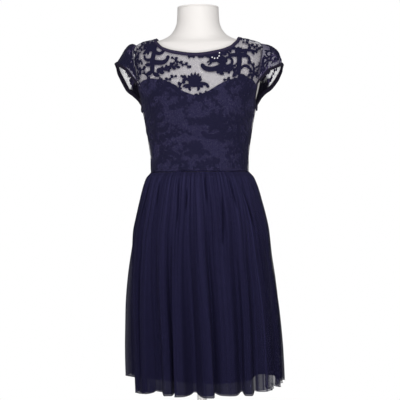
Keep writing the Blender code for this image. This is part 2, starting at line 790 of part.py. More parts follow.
def dress_form(shell, metal):
    angles = [2 * math.pi * i / FORM_SIDES for i in range(FORM_SIDES)]
    stations = [0, 0.5, 1, 2, 3, 4, 5, 6, 7.5, 8.5, 9.5, 10.5, 11.5, 12.5, 13.5, 14.5, 15.5, 16.5]
    stations += [17.5, 18.5, 19.5, 20.5, 21.5, 22.5, 24, 26, 28]
    rings = [[on_body(s, a, -FORM_EASE) for a in angles] for s in stations]
    for end in (0, -1):
        level = WAIST_HEIGHT + BODY.values[end][0]
        rings[end] = [np.array([x, y, level]) for x, y, z in rings[end]]
    loft("form_torso", rings, shell)
    neck_top = WAIST_HEIGHT + BODY.at(28)["rise"]
    neck_radius = BODY.at(28)["half_width"] - FORM_EASE
    low, high = neck_top + SEAM_GAP, neck_top + NECK_CAP_HEIGHT
    rim = 0.001
    profile = [
        (neck_radius - rim, low),
        (neck_radius, low + rim),
        (neck_radius, high - rim),
        (neck_radius - rim, high),
    ]
    turned("form_neck_cap", profile, FORM_SIDES, shell)
    foot = WAIST_HEIGHT - FORM_FOOT_DROP - SEAM_GAP
    top_of_hub = BASE_HEIGHT + HUB_HEIGHT
    pole = [(POLE_RADIUS, top_of_hub + SEAM_GAP), (POLE_RADIUS, foot)]
    turned("stand_pole", pole, POLE_SIDES, metal)
    edge = 0.002
    profile = [
        (BASE_RADIUS - edge, 0.0),
        (BASE_RADIUS, edge),
        (BASE_RADIUS, BASE_HEIGHT - edge),
        (BASE_RADIUS - edge, BASE_HEIGHT),
        (HUB_RADIUS + edge, BASE_HEIGHT),
        (HUB_RADIUS - edge, BASE_HEIGHT + 2 * edge),
        (HUB_RADIUS - 3 * edge, top_of_hub - edge),
        (HUB_RADIUS - 4 * edge, top_of_hub),
    ]
    turned("stand_base", profile, FORM_SIDES, metal)


def main():
    for obj in list(bpy.data.objects):
        bpy.data.objects.remove(obj)
    net = material("embroidered_net", (0.023, 0.020, 0.050), 0.85, alpha=0.75)
    lining = material("navy_lining", (0.016, 0.017, 0.044), 0.7)
    skirt_net = material("skirt_net", (0.015, 0.013, 0.031), 0.85)
    binding = material("navy_binding", (0.010, 0.008, 0.017), 0.6)
    shell = material("white_form", (0.88, 0.86, 0.84), 0.45)
    metal = material("white_steel", (0.86, 0.85, 0.84), 0.5)
    bodice(net, lining)
    sleeves(net)
    neck_binding(binding)
    arm_bindings(binding)
    skirt(skirt_net, lining)
    dress_form(shell, metal)


main()
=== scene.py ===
"""The looks of a navy cocktail dress of embroidered net, worn by a white dress form on a steel stand.

Metres, +Z up. The dress faces -Y and +X is the wearer's left.
"""

import math

import bpy
import numpy as np
from mathutils import Matrix, Vector


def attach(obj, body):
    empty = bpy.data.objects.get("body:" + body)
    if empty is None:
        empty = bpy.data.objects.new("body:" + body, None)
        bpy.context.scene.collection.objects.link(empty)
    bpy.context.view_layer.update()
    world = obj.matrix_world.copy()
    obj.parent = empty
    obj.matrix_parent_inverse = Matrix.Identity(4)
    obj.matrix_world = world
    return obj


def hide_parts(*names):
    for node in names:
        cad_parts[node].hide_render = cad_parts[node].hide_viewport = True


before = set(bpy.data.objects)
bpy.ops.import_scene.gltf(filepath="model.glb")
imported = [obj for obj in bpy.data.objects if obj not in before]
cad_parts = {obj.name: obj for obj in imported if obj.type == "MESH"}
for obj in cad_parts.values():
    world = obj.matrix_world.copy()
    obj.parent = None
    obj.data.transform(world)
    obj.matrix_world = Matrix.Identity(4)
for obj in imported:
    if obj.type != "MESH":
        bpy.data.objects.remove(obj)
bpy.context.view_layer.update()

# --- Studio -------------------------------------------------------------------------------------
# A round floor of matt painted board under a white cyclorama. One large soft box stands high in
# front, a weaker one on the left and one low down, and the white surroundings fill in the rest.

CAMERA_DISTANCE, CAMERA_HEIGHT, CAMERA_ROUND, CAMERA_ROLL = 3.2, 0.997, 4.0, -0.6
FRAME_WIDTH_AT_DRESS = 1.06
FLOOR_RADIUS = 2.1


def colour(code):
    """A paint or dye named by its sRGB hex code, as linear light."""
    shares = [int(code[i : i + 2], 16) / 255 for i in (0, 2, 4)]
    return (*[s / 12.92 if s <= 0.04045 else ((s + 0.055) / 1.055) ** 2.4 for s in shares], 1.0)


def node(material, kind, inputs=(), **settings):
    """Adds a node, or takes one that is there; its inputs are values or other nodes' outputs."""
    made = kind
    if isinstance(kind, str):
        made = material.node_tree.nodes.new("ShaderNode" + kind)
    for name, value in settings.items():
        setattr(made, name, value)
    for name, value in dict(inputs).items():
        if isinstance(value, bpy.types.Node):
            value = value.outputs[0]
        if isinstance(value, bpy.types.NodeSocket):
            material.node_tree.links.new(value, made.inputs[name])
        else:
            made.inputs[name].default_value = value
    return made


def new_finish(name, code, roughness, inputs=()):
    """A material of one colour and gloss, and its surface shader, to be given its pattern."""
    material = bpy.data.materials.new(name)
    material.use_nodes = True
    surface = material.node_tree.nodes["Principled BSDF"]
    node(material, surface, {"Base Color": colour(code), "Roughness": roughness})
    node(material, surface, inputs)
    return material, surface


def add_mesh(name, points, faces, material):
    """A piece of one material through points and faces, shaded smooth."""
    mesh = bpy.data.meshes.new(name)
    mesh.from_pydata(np.asarray(points).tolist(), [], faces)
    mesh.validate()
    mesh.shade_smooth()
    mesh.materials.append(material)
    piece = bpy.data.objects.new(name, mesh)
    bpy.context.scene.collection.objects.link(piece)
    return piece


def loft(name, rings, material, crisp=None, closed=False):
    """A solid through rings of points, which run anticlockwise as seen from the last ring. It has
    flat ends, or is closed on itself. Edges that turn by more than crisp degrees stay crisp."""
    rings = np.asarray(rings)
    count, sides = rings.shape[:2]
    number = np.arange(count * sides).reshape(count, sides)
    if closed:
        number = np.concatenate([number, number[:1]])
    after = np.roll(number, -1, axis=1)
    quads = np.stack([number[:-1], after[:-1], after[1:], number[1:]], -1)
    ends = [] if closed else [number[0, ::-1].tolist(), number[-1].tolist()]
    piece = add_mesh(name, rings.reshape(-1, 3), quads.reshape(-1, 4).tolist() + ends, material)
    for end in piece.data.polygons[len(piece.data.polygons) - len(ends) :]:
        end.use_smooth = False
    if crisp:
        piece.data.set_sharp_from_angle(angle=math.radians(crisp))
    return piece


def lathe(name, profile, sides, material):
    """A turned solid from (radius, height) pairs, from the bottom up."""
    turns = np.linspace(0, 2 * math.pi, sides, endpoint=False)
    rings = [[(r * math.cos(turn), r * math.sin(turn), h) for turn in turns] for r, h in profile]
    return loft(name, rings, material, crisp=35)


board, board_surface = new_finish("matt_painted_board", "f6f5f3", 0.9)
# The roller's grain: this many swells across the whole board.
BOARD_SWELLS = 60.0
board_grain = node(board, "TexNoise", {"Scale": BOARD_SWELLS, "Detail": 4.0})
board_bump = node(board, "Bump", {"Height": board_grain, "Distance": 0.0003, "Strength": 0.2})
node(board, board_surface, {"Normal": board_bump})
FLOOR_TOP = -0.0002
floor = lathe("floor", [(FLOOR_RADIUS, FLOOR_TOP - 0.02), (FLOOR_RADIUS, FLOOR_TOP)], 96, board)

camera_data = bpy.data.cameras.new("camera")
camera_data.sensor_width = 36.0
camera_data.lens = 36.0 * CAMERA_DISTANCE / FRAME_WIDTH_AT_DRESS
camera = bpy.data.objects.new("camera", camera_data)
bpy.context.scene.collection.objects.link(camera)
round_it = math.radians(CAMERA_ROUND)
camera.matrix_world = (
    Matrix.Rotation(round_it, 4, "Z")
    @ Matrix.Translation((0, -CAMERA_DISTANCE, CAMERA_HEIGHT))
    @ Matrix.Rotation(math.radians(90), 4, "X")
    @ Matrix.Rotation(math.radians(CAMERA_ROLL), 4, "Z")
)
bpy.context.scene.camera = camera

SOFT_BOXES = [
    # name, from where, aimed at, width, height, watts
    ("soft_box_high", (0.45, -2.0, 2.45), (0, 0, 1.2), 1.3, 1.3, 27.5),
    ("soft_box_left", (-2.2, -2.2, 1.5), (0, 0, 1.0), 1.2, 1.6, 8.0),
    ("soft_box_low", (0.0, -2.0, 0.12), (0, 0, 0.30), 1.0, 0.2, 15.0),
]
for name, place, target, width, height, watts in SOFT_BOXES:
    box_data = bpy.data.lights.new(name, "AREA")
    box_data.shape = "RECTANGLE"
    box_data.size, box_data.size_y, box_data.energy = width, height, watts
    soft_box = bpy.data.objects.new(name, box_data)
    soft_box.location = place
    soft_box.rotation_euler = (Vector(target) - Vector(place)).to_track_quat("-Z", "Y").to_euler()
    soft_box.visible_camera = False
    bpy.context.scene.collection.objects.link(soft_box)

# The cyclorama is pure white to look at, and gives a dimmer light of its own.
CYCLORAMA_LIGHT = 0.36
world = bpy.data.worlds.new("cyclorama")
world.use_nodes = True
bpy.context.scene.world = world
world.node_tree.nodes.clear()
seen = node(world, "Background", {"Color": (1, 1, 1, 1), "Strength": 1.0})
lit = node(world, "Background", {"Color": (1, 1, 1, 1), "Strength": CYCLORAMA_LIGHT})
path = node(world, "LightPath")
either = node(world, "MixShader", {0: path.outputs["Is Camera Ray"], 1: lit, 2: seen})
node(world, "OutputWorld", {"Surface": either})
bpy.context.scene.view_settings.view_transform = "Standard"
bpy.context.scene.cycles.transparent_max_bounces = 24

# --- Stand --------------------------------------------------------------------------------------
# A round plate of 8 mm steel with a hub turned on it, and a tube that stands in the hub. Both are
# powder coated in a satin white.

BASE_RADIUS, BASE_HEIGHT, HUB_RADIUS, HUB_HEIGHT = 0.170, 0.008, 0.026, 0.034
POLE_RADIUS, FORM_FOOT = 0.0125, 0.740


def grain(material, surface, apart, gloss, strength, deep):
    """Fine swells so many metres apart, as bump, and as gloss that varies between two values."""
    place = node(material, "TexCoord").outputs["Object"]
    swells = node(material, "TexNoise", {"Vector": place, "Scale": 1 / apart, "Detail": 2.0})
    shine = node(material, "MapRange", {"Value": swells, "To Min": gloss[0], "To Max": gloss[1]})
    bump = node(material, "Bump", {"Height": swells, "Strength": strength, "Distance": deep})
    node(material, surface, {"Roughness": shine, "Normal": bump})


def hand_over(piece, solid=None):
    """Puts a piece on the one body, and hides the solid of model.glb that it stands for."""
    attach(piece, "root")
    if solid:
        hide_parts(solid)
    return piece


# Baked powder coat: an even satin white with a fine, soft texture, whose swells are 0.6 mm apart.
# They are drawn 1.2 mm apart, so that they show.
coat, coat_surface = new_finish("white_powder_coat", "f2f1ef", 0.45, {"IOR": 1.5})
grain(coat, coat_surface, 0.0012, (0.40, 0.52), 0.2, 0.0002)

# The plate's edges are eased, and the hub tapers to the pole, whose ends stay PARTING clear of both.
RIM, PARTING = 0.0016, 0.0003
HUB_TOP = BASE_HEIGHT + HUB_HEIGHT
plate_profile = [
    (BASE_RADIUS - RIM, 0.0),
    (BASE_RADIUS - 0.3 * RIM, 0.3 * RIM),
    (BASE_RADIUS, RIM),
    (BASE_RADIUS, BASE_HEIGHT - RIM),
    (BASE_RADIUS - 0.3 * RIM, BASE_HEIGHT - 0.3 * RIM),
    (BASE_RADIUS - RIM, BASE_HEIGHT),
    (HUB_RADIUS + RIM, BASE_HEIGHT),
    (HUB_RADIUS, BASE_HEIGHT + 0.6 * RIM),
    (HUB_RADIUS - 0.002, BASE_HEIGHT + 0.004),
    (HUB_RADIUS - 0.006, HUB_TOP - 0.002),
    (HUB_RADIUS - 0.0075, HUB_TOP),
]
hand_over(lathe("base_plate", plate_profile, 128, coat), "stand_base")
pole_heights = (HUB_TOP + PARTING, 0.30, 0.50, FORM_FOOT - PARTING)
pole_profile = [(POLE_RADIUS, height) for height in pole_heights]
hand_over(lathe("pole", pole_profile, 48, coat), "stand_pole")

# --- Dress form ---------------------------------------------------------------------------------
# A limbless display torso: one glass-fibre shell, moulded in level sections and sprayed with a
# satin white lacquer, with a flat turned cap on its neck.

WAIST = 1.070
FORM_EASE = 0.0015

# Level sections from the foot to the neck. rise is above the waist.
BODY = [
    # rise, half width, front, back, square
    (-0.330, 0.1480, 0.0940, 0.1080, 0.02),
    (-0.290, 0.1560, 0.0960, 0.1150, 0.02),
    (-0.200, 0.1600, 0.0975, 0.1200, 0.02),
    (-0.150, 0.1560, 0.0965, 0.1160, 0.02),
    (-0.100, 0.1470, 0.0940, 0.1070, 0.02),
    (-0.050, 0.1350, 0.0900, 0.0950, 0.02),
    (0.000, 0.1258, 0.0860, 0.0840, 0.02),
    (0.035, 0.1258, 0.0860, 0.0835, 0.02),
    (0.066, 0.1290, 0.0870, 0.0860, 0.02),
    (0.098, 0.1340, 0.0880, 0.0910, 0.03),
    (0.130, 0.1390, 0.0900, 0.0960, 0.03),
    (0.164, 0.1460, 0.0920, 0.1000, 0.04),
    (0.193, 0.1525, 0.0935, 0.1030, 0.04),
    (0.220, 0.1600, 0.0935, 0.1040, 0.05),
    (0.246, 0.1655, 0.0925, 0.1030, 0.05),
    (0.280, 0.1700, 0.0885, 0.0990, 0.05),
    (0.306, 0.1705, 0.0835, 0.0930, 0.05),
    (0.324, 0.1690, 0.0780, 0.0850, 0.05),
    (0.3330, 0.1640, 0.0740, 0.0780, 0.04),
    (0.3390, 0.1560, 0.0705, 0.0715, 0.04),
    (0.3430, 0.1420, 0.0675, 0.0665, 0.03),
    (0.3470, 0.1220, 0.0650, 0.0620, 0.02),
    (0.3510, 0.1040, 0.0635, 0.0590, 0.01),
    (0.3565, 0.0900, 0.0620, 0.0575, 0.00),
    (0.3640, 0.0770, 0.0605, 0.0565, 0.00),
    (0.3740, 0.0680, 0.0590, 0.0560, 0.00),
    (0.3860, 0.0615, 0.0575, 0.0558, 0.00),
    (0.4000, 0.0578, 0.0565, 0.0556, 0.00),
    (0.4330, 0.0560, 0.0560, 0.0555, 0.00),
]
# The bust: how far out it stands, where its two tops are, and how softly it fades round them.
CUP = {"out": 0.026, "apart": 0.074, "rise": 0.155, "wide": 0.062, "up": 0.072, "down": 0.052}


def follow(rows, place, by_number=False):
    """The columns of a table at any places, on smooth curves that never overshoot a row."""
    values = np.array(rows, float)
    keys = np.arange(float(len(values))) if by_number else values[:, 0]
    rate = np.diff(values, axis=0) / np.diff(keys)[:, None]
    same = rate[:-1] * rate[1:] > 0
    total = np.where(same, rate[:-1] + rate[1:], 1.0)
    slopes = np.zeros_like(values)
    slopes[1:-1] = np.where(same, 2 * rate[:-1] * rate[1:] / total, 0.0)
    slopes[0], slopes[-1] = rate[0], rate[-1]
    place = np.clip(np.asarray(place, float), keys[0], keys[-1])
    i = np.clip(np.searchsorted(keys, place, side="right") - 1, 0, len(keys) - 2)
    span = (keys[i + 1] - keys[i])[..., None]
    t = (place - keys[i])[..., None] / span
    found = (
        values[i] * (1 + 2 * t) * (1 - t) ** 2
        + slopes[i] * span * t * (1 - t) ** 2
        + values[i + 1] * t * t * (3 - 2 * t)
        + slopes[i + 1] * span * t * t * (t - 1)
    )
    return np.moveaxis(found, -1, 0)


def oval(half_width, depth, square, angle):
    """A slightly squared oval. Angle 0 is the front and a quarter turn is +X."""
    x = half_width * (np.sin(angle) + square * np.sin(3 * angle)) / (1 - square)
    y = -depth * (np.cos(angle) - square * np.cos(3 * angle)) / (1 - square)
    return x, y


def bare_torso(station, angle):
    """Points of the torso. A station is a place among BODY's rows, counted from the first."""
    station, angle = np.broadcast_arrays(station, angle)
    rise, half_width, front, back, square = follow(BODY, station, by_number=True)
    ahead = np.cos(angle)
    x, y = oval(half_width, np.where(ahead > 0, front, back), square, angle)
    fade = np.where(rise > CUP["rise"], CUP["up"], CUP["down"])
    cups = CUP["out"] * np.exp(-(((rise - CUP["rise"]) / fade) ** 2))
    across = sum(np.exp(-(((x - side * CUP["apart"]) / CUP["wide"]) ** 2)) for side in (-1, 1))
    y = y - cups * across * np.clip(2.5 * ahead, 0, 1)
    return np.stack([x, y, WAIST + rise], -1)


def unit(vectors):
    """The same directions, each one metre long."""
    return vectors / (np.linalg.norm(vectors, axis=-1, keepdims=True) + 1e-12)


def on_torso(station, angle, lift):
    """Points that stand lift off the torso, square to its surface."""
    round_it = bare_torso(station, angle + 0.01) - bare_torso(station, angle - 0.01)
    up_it = bare_torso(station + 0.02, angle) - bare_torso(station - 0.02, angle)
    lift = np.asarray(lift)[..., None]
    return bare_torso(station, angle) + lift * unit(np.cross(round_it, up_it))


# Satin lacquer on a gelcoat: warm white, a soft highlight, and a faint orange peel.
lacquer, lacquer_surface = new_finish(
    "satin_white_lacquer", "edeae6", 0.55, {"IOR": 1.5, "Coat Weight": 0.05, "Coat Roughness": 0.3}
)
lacquer_place = node(lacquer, "TexCoord").outputs["Object"]
# Its dimples are 2 mm apart, and its tone drifts over patches about 140 mm wide.
DIMPLE, TONE_PATCH = 0.002, 0.143
peel = node(lacquer, "TexNoise", {"Vector": lacquer_place, "Scale": 1 / DIMPLE, "Detail": 2.0})
tone = node(lacquer, "TexNoise", {"Vector": lacquer_place, "Scale": 1 / TONE_PATCH, "Detail": 3.0})
lacquer_tone = node(lacquer, "Mix", {"Factor": tone}, data_type="RGBA")
# A colour mix has its two colours on its sockets 6 and 7, and gives the result on output 2.
node(lacquer, lacquer_tone, {6: colour("e9e4e1"), 7: colour("f1eeeb")})
lacquer_bump = node(lacquer, "Bump", {"Height": peel, "Strength": 0.08, "Distance": 0.0002})
node(lacquer, lacquer_surface, {"Base Color": lacquer_tone.outputs[2], "Normal": lacquer_bump})

TORSO_SIDES = 144
torso_angles = np.linspace(0, 2 * math.pi, TORSO_SIDES, endpoint=False)
torso_stations = np.concatenate([[0, 0.25], np.linspace(0.5, 16, 76), np.linspace(16.25, 28, 48)])
torso_rings = on_torso(torso_stations[:, None], torso_angles[None, :], -FORM_EASE)
torso_rings[0, :, 2], torso_rings[-1, :, 2] = WAIST + BODY[0][0], WAIST + BODY[-1][0]
hand_over(loft("torso", torso_rings, lacquer, crisp=50), "form_torso")

neck_top, neck_radius = WAIST + BODY[-1][0], BODY[-1][1] - FORM_EASE
CAP_PROFILE = [
    # in from the neck, up from its top
    (0.0010, 0.0003),
    (0.0000, 0.0010),
    (0.0000, 0.0038),
    (0.0004, 0.0046),
    (0.0012, 0.0050),
]
cap_profile = [(neck_radius - inward, neck_top + up) for inward, up in CAP_PROFILE]
hand_over(lathe("neck_cap", cap_profile, 96, lacquer), "form_neck_cap")

# --- Skirt lining -------------------------------------------------------------------------------
# An opaque A-line underskirt of navy lining satin in three panels, 33 mm shorter than the net. It
# is sewn into the waist seam, and its hem is turned up and stitched.

CLOTH, SEAM_GAP = 0.0012, 0.0003
SKIRT_LENGTH, LINING_SHORTER = 0.570, 0.033

# Level sections of the skirt at the foot of its folds. drop is below the waist seam.
SKIRT = [
    # drop, half width, shift, front, back, square back
    (0.000, 0.1300, 0.0000, 0.0902, 0.0882, 0.02),
    (0.014, 0.1400, 0.0002, 0.1010, 0.0990, 0.02),
    (0.030, 0.1462, 0.0004, 0.1050, 0.1060, 0.02),
    (0.060, 0.1550, 0.0010, 0.1085, 0.1140, 0.03),
    (0.110, 0.1675, 0.0015, 0.1110, 0.1240, 0.04),
    (0.160, 0.1765, 0.0010, 0.1110, 0.1310, 0.05),
    (0.220, 0.1790, 0.0015, 0.1100, 0.1360, 0.06),
    (0.290, 0.1830, 0.0040, 0.1095, 0.1400, 0.07),
    (0.360, 0.1845, 0.0070, 0.1090, 0.1430, 0.08),
    (0.430, 0.1835, 0.0100, 0.1085, 0.1460, 0.09),
    (0.500, 0.1825, 0.0120, 0.1080, 0.1490, 0.10),
    (0.570, 0.1820, 0.0140, 0.1080, 0.1520, 0.10),
]
SQUARE_FRONT = 0.02
# The hem rides up a little behind, and more on the wearer's right.
HEM_RISE = [
    # degrees, rise
    (-180, 0.014),
    (-150, 0.017),
    (-125, 0.026),
    (-106, 0.025),
    (-92, 0.004),
    (-82, 0.000),
    (40, 0.000),
    (46, 0.007),
    (60, 0.010),
    (102, 0.010),
    (125, 0.014),
    (180, 0.014),
]
# Each panel's first and last angle. The side seams are at a quarter turn, the zip is behind.
PANEL_ARCS = {
    "front": (-math.pi / 2, math.pi / 2),
    "back_left": (math.pi / 2, math.pi),
    "back_right": (-math.pi, -math.pi / 2),
}


def smooth_step(value):
    """Rises from 0 to 1 as the value does, with a soft start and end."""
    value = np.clip(value, 0.0, 1.0)
    return value * value * (3 - 2 * value)


def skirt_points(angle, drop, inside, height=0.0, lean=0.0):
    """Points inside the skirt's plain section, lifted off it by height and leaning sideways."""
    angle, drop = np.broadcast_arrays(angle, drop)
    _, half_width, shift, front, back, square_back = follow(SKIRT, drop)
    ahead = np.cos(angle) > 0
    half_width = half_width - inside
    depth = np.where(ahead, front, back) - inside
    x, y = oval(half_width, depth, np.where(ahead, SQUARE_FRONT, square_back), angle)
    out = unit(np.stack([np.sin(angle) / half_width, -np.cos(angle) / depth], -1))
    x = x + out[..., 0] * height - out[..., 1] * lean
    y = y + out[..., 1] * height + out[..., 0] * lean
    fall = drop * (1 - follow(HEM_RISE, np.degrees(angle))[1] / SKIRT_LENGTH)
    return np.stack([x + shift, y, WAIST - SEAM_GAP / 2 - fall], -1)


def lay_flat(piece, flat):
    """Gives each point its place on the flat cut in metres, which the weave is drawn by."""
    corners = np.zeros(len(piece.data.loops), int)
    piece.data.loops.foreach_get("vertex_index", corners)
    places = flat.reshape(-1, 2)[corners].astype(np.float32)
    piece.data.uv_layers.new(name="cut").data.foreach_set("uv", places.ravel())


def cloth(name, grid, flat, material, thickness=0.0):
    """One sheet of cloth through rows of points, from the top down."""
    number = np.arange(grid[..., 0].size).reshape(grid.shape[:2])
    faces = np.stack([number[:-1, :-1], number[1:, :-1], number[1:, 1:], number[:-1, 1:]], -1)
    piece = add_mesh(name, grid.reshape(-1, 3), faces.reshape(-1, 4).tolist(), material)
    lay_flat(piece, flat)
    if thickness:
        shell = piece.modifiers.new("thickness", "SOLIDIFY")
        shell.thickness, shell.offset = thickness, -1.0
    return piece


def walked_along(line):
    """How far along a line each of its points lies."""
    return np.concatenate([[0], np.cumsum(np.linalg.norm(np.diff(line, axis=0), axis=1))])


def flat_places(grid):
    """Where each point lies on the flat cut: along its row, and down its column."""
    along = np.array([walked_along(row) for row in grid])
    down = np.array([walked_along(column) for column in grid.swapaxes(0, 1)]).T
    return np.stack([along - along[:, -1:] / 2, -down], -1)


# Fibres of cloth lie in all directions and shade each other, so little of their gloss is left, and
# what is left has the dye's colour.
NO_GLARE = {"IOR": 1.53, "Specular IOR Level": 0.08, "Specular Tint": colour("8a86c8")}


def bloom(weight, code, roughness=0.4):
    """What keeps a cloth from glaring, and the faint bloom that it has where it turns away."""
    return {**NO_GLARE, "Sheen Weight": weight, "Sheen Roughness": roughness, "Sheen Tint": colour(code)}


def plain_weave(material, place, spacing, strength):
    """Bump of a plain weave with so many metres between its threads."""
    scale = 2 * math.pi / spacing
    apart = node(material, "SeparateXYZ", {0: place})
    waves = []
    for side in ("X", "Y"):
        turn = node(material, "Math", {0: apart.outputs[side], 1: scale}, operation="MULTIPLY")
        waves.append(node(material, "Math", {0: turn}, operation="SINE"))
    both = node(material, "Math", {0: waves[0], 1: waves[1]}, operation="MULTIPLY")
    return node(material, "Bump", {"Height": both, "Strength": strength, "Distance": spacing / 6})


# Acetate lining satin: close and smooth, deep navy, with a soft sheen on its bends.
satin, satin_surface = new_finish("navy_lining_satin", "0d1124", 0.55, bloom(0.06, "5a5896"))
satin_place = node(satin, "UVMap", uv_map="cut").outputs["UV"]
# Its threads are 0.25 mm apart; they are drawn 1 mm apart, so that they show.
THREAD_SPACING = 0.001
satin_weave = plain_weave(satin, satin_place, THREAD_SPACING, 0.2)
# Slubs, where a thread is thicker, are 4.5 mm wide and 33 mm long.
SLUBS_PER_METRE = (220.0, 30.0, 1.0)
slub = node(satin, "Mapping", {"Vector": satin_place, "Scale": SLUBS_PER_METRE})
slubs = node(satin, "TexNoise", {"Vector": slub, "Scale": 1.0, "Detail": 3.0})
satin_gloss = node(satin, "MapRange", {"Value": slubs, "To Min": 0.46, "To Max": 0.66})
node(satin, satin_surface, {"Roughness": satin_gloss, "Normal": satin_weave})


def spun(material, surface):
    """The fine uneven twist of a spun thread, a little under 1 mm long."""
    grain(material, surface, 0.0009, (0.55, 0.80), 0.4, 0.0002)


# Polyester sewing thread: matt, and a shade darker than the cloth it sinks into.
thread, thread_surface = new_finish("navy_sewing_thread", "0e0e20", 0.65, NO_GLARE)
spun(thread, thread_surface)


# Where each stitch starts, stands highest and ends, in shares of its length, and how thick it is.
STITCH_ALONG, STITCH_THICK = np.array([0.08, 0.5, 0.92]), np.array([0.5, 1.0, 0.5])


def stitch_row(name, line, out, length, radius):
    """Machine stitches of one length along a line on a cloth that faces out. Each is a short
    thread that dips into the cloth at both its ends."""
    walked = walked_along(line)
    places = length * (np.arange(int(walked[-1] / length))[:, None] + STITCH_ALONG)
    spots, up = [
        np.stack([np.interp(places, walked, values[:, k]) for k in range(3)], -1) for values in (line, out)
    ]
    along = unit(spots[:, 2:] - spots[:, :1])
    aside = np.cross(up, along)
    thick = radius * STITCH_THICK[None, :, None]
    spots = spots + (thick - 0.5 * radius) * up
    quarters = np.arange(4) * math.pi / 2
    points = np.stack([spots + thick * (math.cos(a) * aside + math.sin(a) * up) for a in quarters], 2)
    number = np.arange(points.size // 3).reshape(points.shape[:3])
    after = np.roll(number, -1, axis=2)
    sides = np.stack([number[:, :-1], after[:, :-1], after[:, 1:], number[:, 1:]], -1).reshape(-1, 4)
    faces = np.concatenate([sides, number[:, 0, ::-1], number[:, -1]])
    return add_mesh(name, points.reshape(-1, 3), faces.tolist(), thread)


# The hem's last rows are turned up inside, and held by stitches 3 mm long.
LINING_LENGTH, HEM_TURN_UP = SKIRT_LENGTH - LINING_SHORTER, 0.018
HEM_STITCH, HEM_THREAD_RADIUS = 0.003, 0.0004
LINING_THICKNESS = 0.0006
LINING_DROPS = np.linspace(0, LINING_LENGTH, 70)
TURNED_UP = [
    # drop past the hem, how far inside
    (0.0004, 0.0009),
    (0.0000, 0.0018),
    (-0.0060, 0.0018),
    (-0.0120, 0.0018),
    (-HEM_TURN_UP, 0.0018),
]


def underskirt_points(angle, drop, further_in=0.0, height=0.0):
    """Points of the underskirt. Its hem hangs lowest in the middle of the front, and rides up
    a little on the wearer's left."""
    degrees = np.degrees(angle)
    lower = 0.008 * np.exp(-(((degrees - 6) / 30) ** 2))
    higher = 0.006 * smooth_step((degrees - 38) / 8) * smooth_step((100 - degrees) / 14)
    inside = CLOTH + SEAM_GAP + 0.0004 + 0.0025 * smooth_step(drop / 0.1)
    # Soft flutes near the hem, never out as far as the net.
    flutes = 0.0016 * smooth_step((drop - 0.2) / 0.3) * (1 + np.cos(11 * angle + 0.7)) / 2
    hangs = 1 + (lower - higher) / SKIRT_LENGTH
    return skirt_points(angle, drop * hangs, inside + flutes + further_in, height)


TURNS_UP, TURNS_IN = np.array(TURNED_UP).T
# Each panel is cut from a rectangle, and fills nine tenths of it.
LINING_CUT_HEIGHT, LINING_CUT_WIDTHS = 0.56, {"front": 0.53, "back_left": 0.27, "back_right": 0.27}
for part, (first, last) in PANEL_ARCS.items():
    columns = 120 if part == "front" else 60
    angle = np.linspace(first, last, columns + 1)[None, :]
    drop = np.concatenate([LINING_DROPS, LINING_LENGTH + TURNS_UP])[:, None]
    further_in = np.concatenate([0 * LINING_DROPS, TURNS_IN])[:, None]
    grid = underskirt_points(angle, drop, further_in)
    panel = cloth(f"underskirt_{part}", grid, flat_places(grid), satin, LINING_THICKNESS)
    hand_over(panel, f"skirt_lining_{part}")
    across = np.linspace(first + 0.01, last - 0.01, 4 * columns)
    stitched_at = LINING_LENGTH - 0.9 * HEM_TURN_UP
    line, raised = [underskirt_points(across, stitched_at, 0.0, height) for height in (0.0, 0.001)]
    name, out = f"underskirt_hem_{part}", unit(raised - line)
    hem_stitches = stitch_row(name, line, out, HEM_STITCH, HEM_THREAD_RADIUS)
    hand_over(hem_stitches)
    width = LINING_CUT_WIDTHS[part]

# --- Bodice lining ------------------------------------------------------------------------------
# The same satin, cut close to the form up to a sweetheart edge in front and level behind. The two
# backs meet at the zip, and the top edge is bagged out, so no stitching shows there.

UNDERARM_RISE, SHOULDER_RISE = 0.164, 0.337
LINING_OFF_FORM, NET_OFF_FORM = 0.0021, 0.0036
NECK_BINDING_WIDTH = 0.009

NECKLINE = [
    # degrees from the centre front, rise
    (-17, 0.3140),
    (0, 0.3060),
    (17, 0.3140),
    (25, 0.3223),
    (30, 0.3298),
    (35, 0.3372),
    (40, 0.3414),
    (50, 0.3451),
    (60, 0.3475),
    (75, 0.3496),
    (90, 0.3505),
    (105, 0.3497),
    (120, 0.3477),
    (130, 0.3456),
    (140, 0.3428),
    (150, 0.3385),
    (165, 0.3310),
    (180, 0.3285),
]
LINING_TOP = {
    # share of the way from the middle to the armhole, rise
    "front": [
        (0.00, 0.1950),
        (0.12, 0.2030),
        (0.35, 0.2300),
        (0.60, 0.2425),
        (0.80, 0.2390),
        (1.00, 0.2240),
    ],
    "back": [(0.00, 0.2000), (0.60, 0.2040), (1.00, 0.2180)],
}
PANEL_MIDDLE = {"front": 0.0, "back": math.pi}
ARMHOLE_CUT = {"front": math.radians(26), "back": math.radians(28)}
ARMHOLE_MIDDLE = (UNDERARM_RISE + SHOULDER_RISE) / 2
ARMHOLE_HALF = (SHOULDER_RISE - UNDERARM_RISE) / 2
STATION_STEPS = np.linspace(0, len(BODY) - 1, 3000)
STATION_RISES = follow(BODY, STATION_STEPS, by_number=True)[0]


def station_at(rise):
    """The torso's station that is so high above the waist; rise_at is its opposite."""
    return np.interp(rise, STATION_RISES, STATION_STEPS)


def rise_at(station):
    return np.interp(station, STATION_STEPS, STATION_RISES)


def slide_down(station, angle, distance):
    """The stations that lie distance below these, along the form's surface."""
    station, angle = np.broadcast_arrays(np.atleast_1d(station), np.atleast_1d(angle))
    found = []
    for top, turn in zip(station, angle):
        stations = np.linspace(top, top - 3, 90)
        found.append(np.interp(distance, walked_along(bare_torso(stations, turn)), stations))
    return np.array(found)


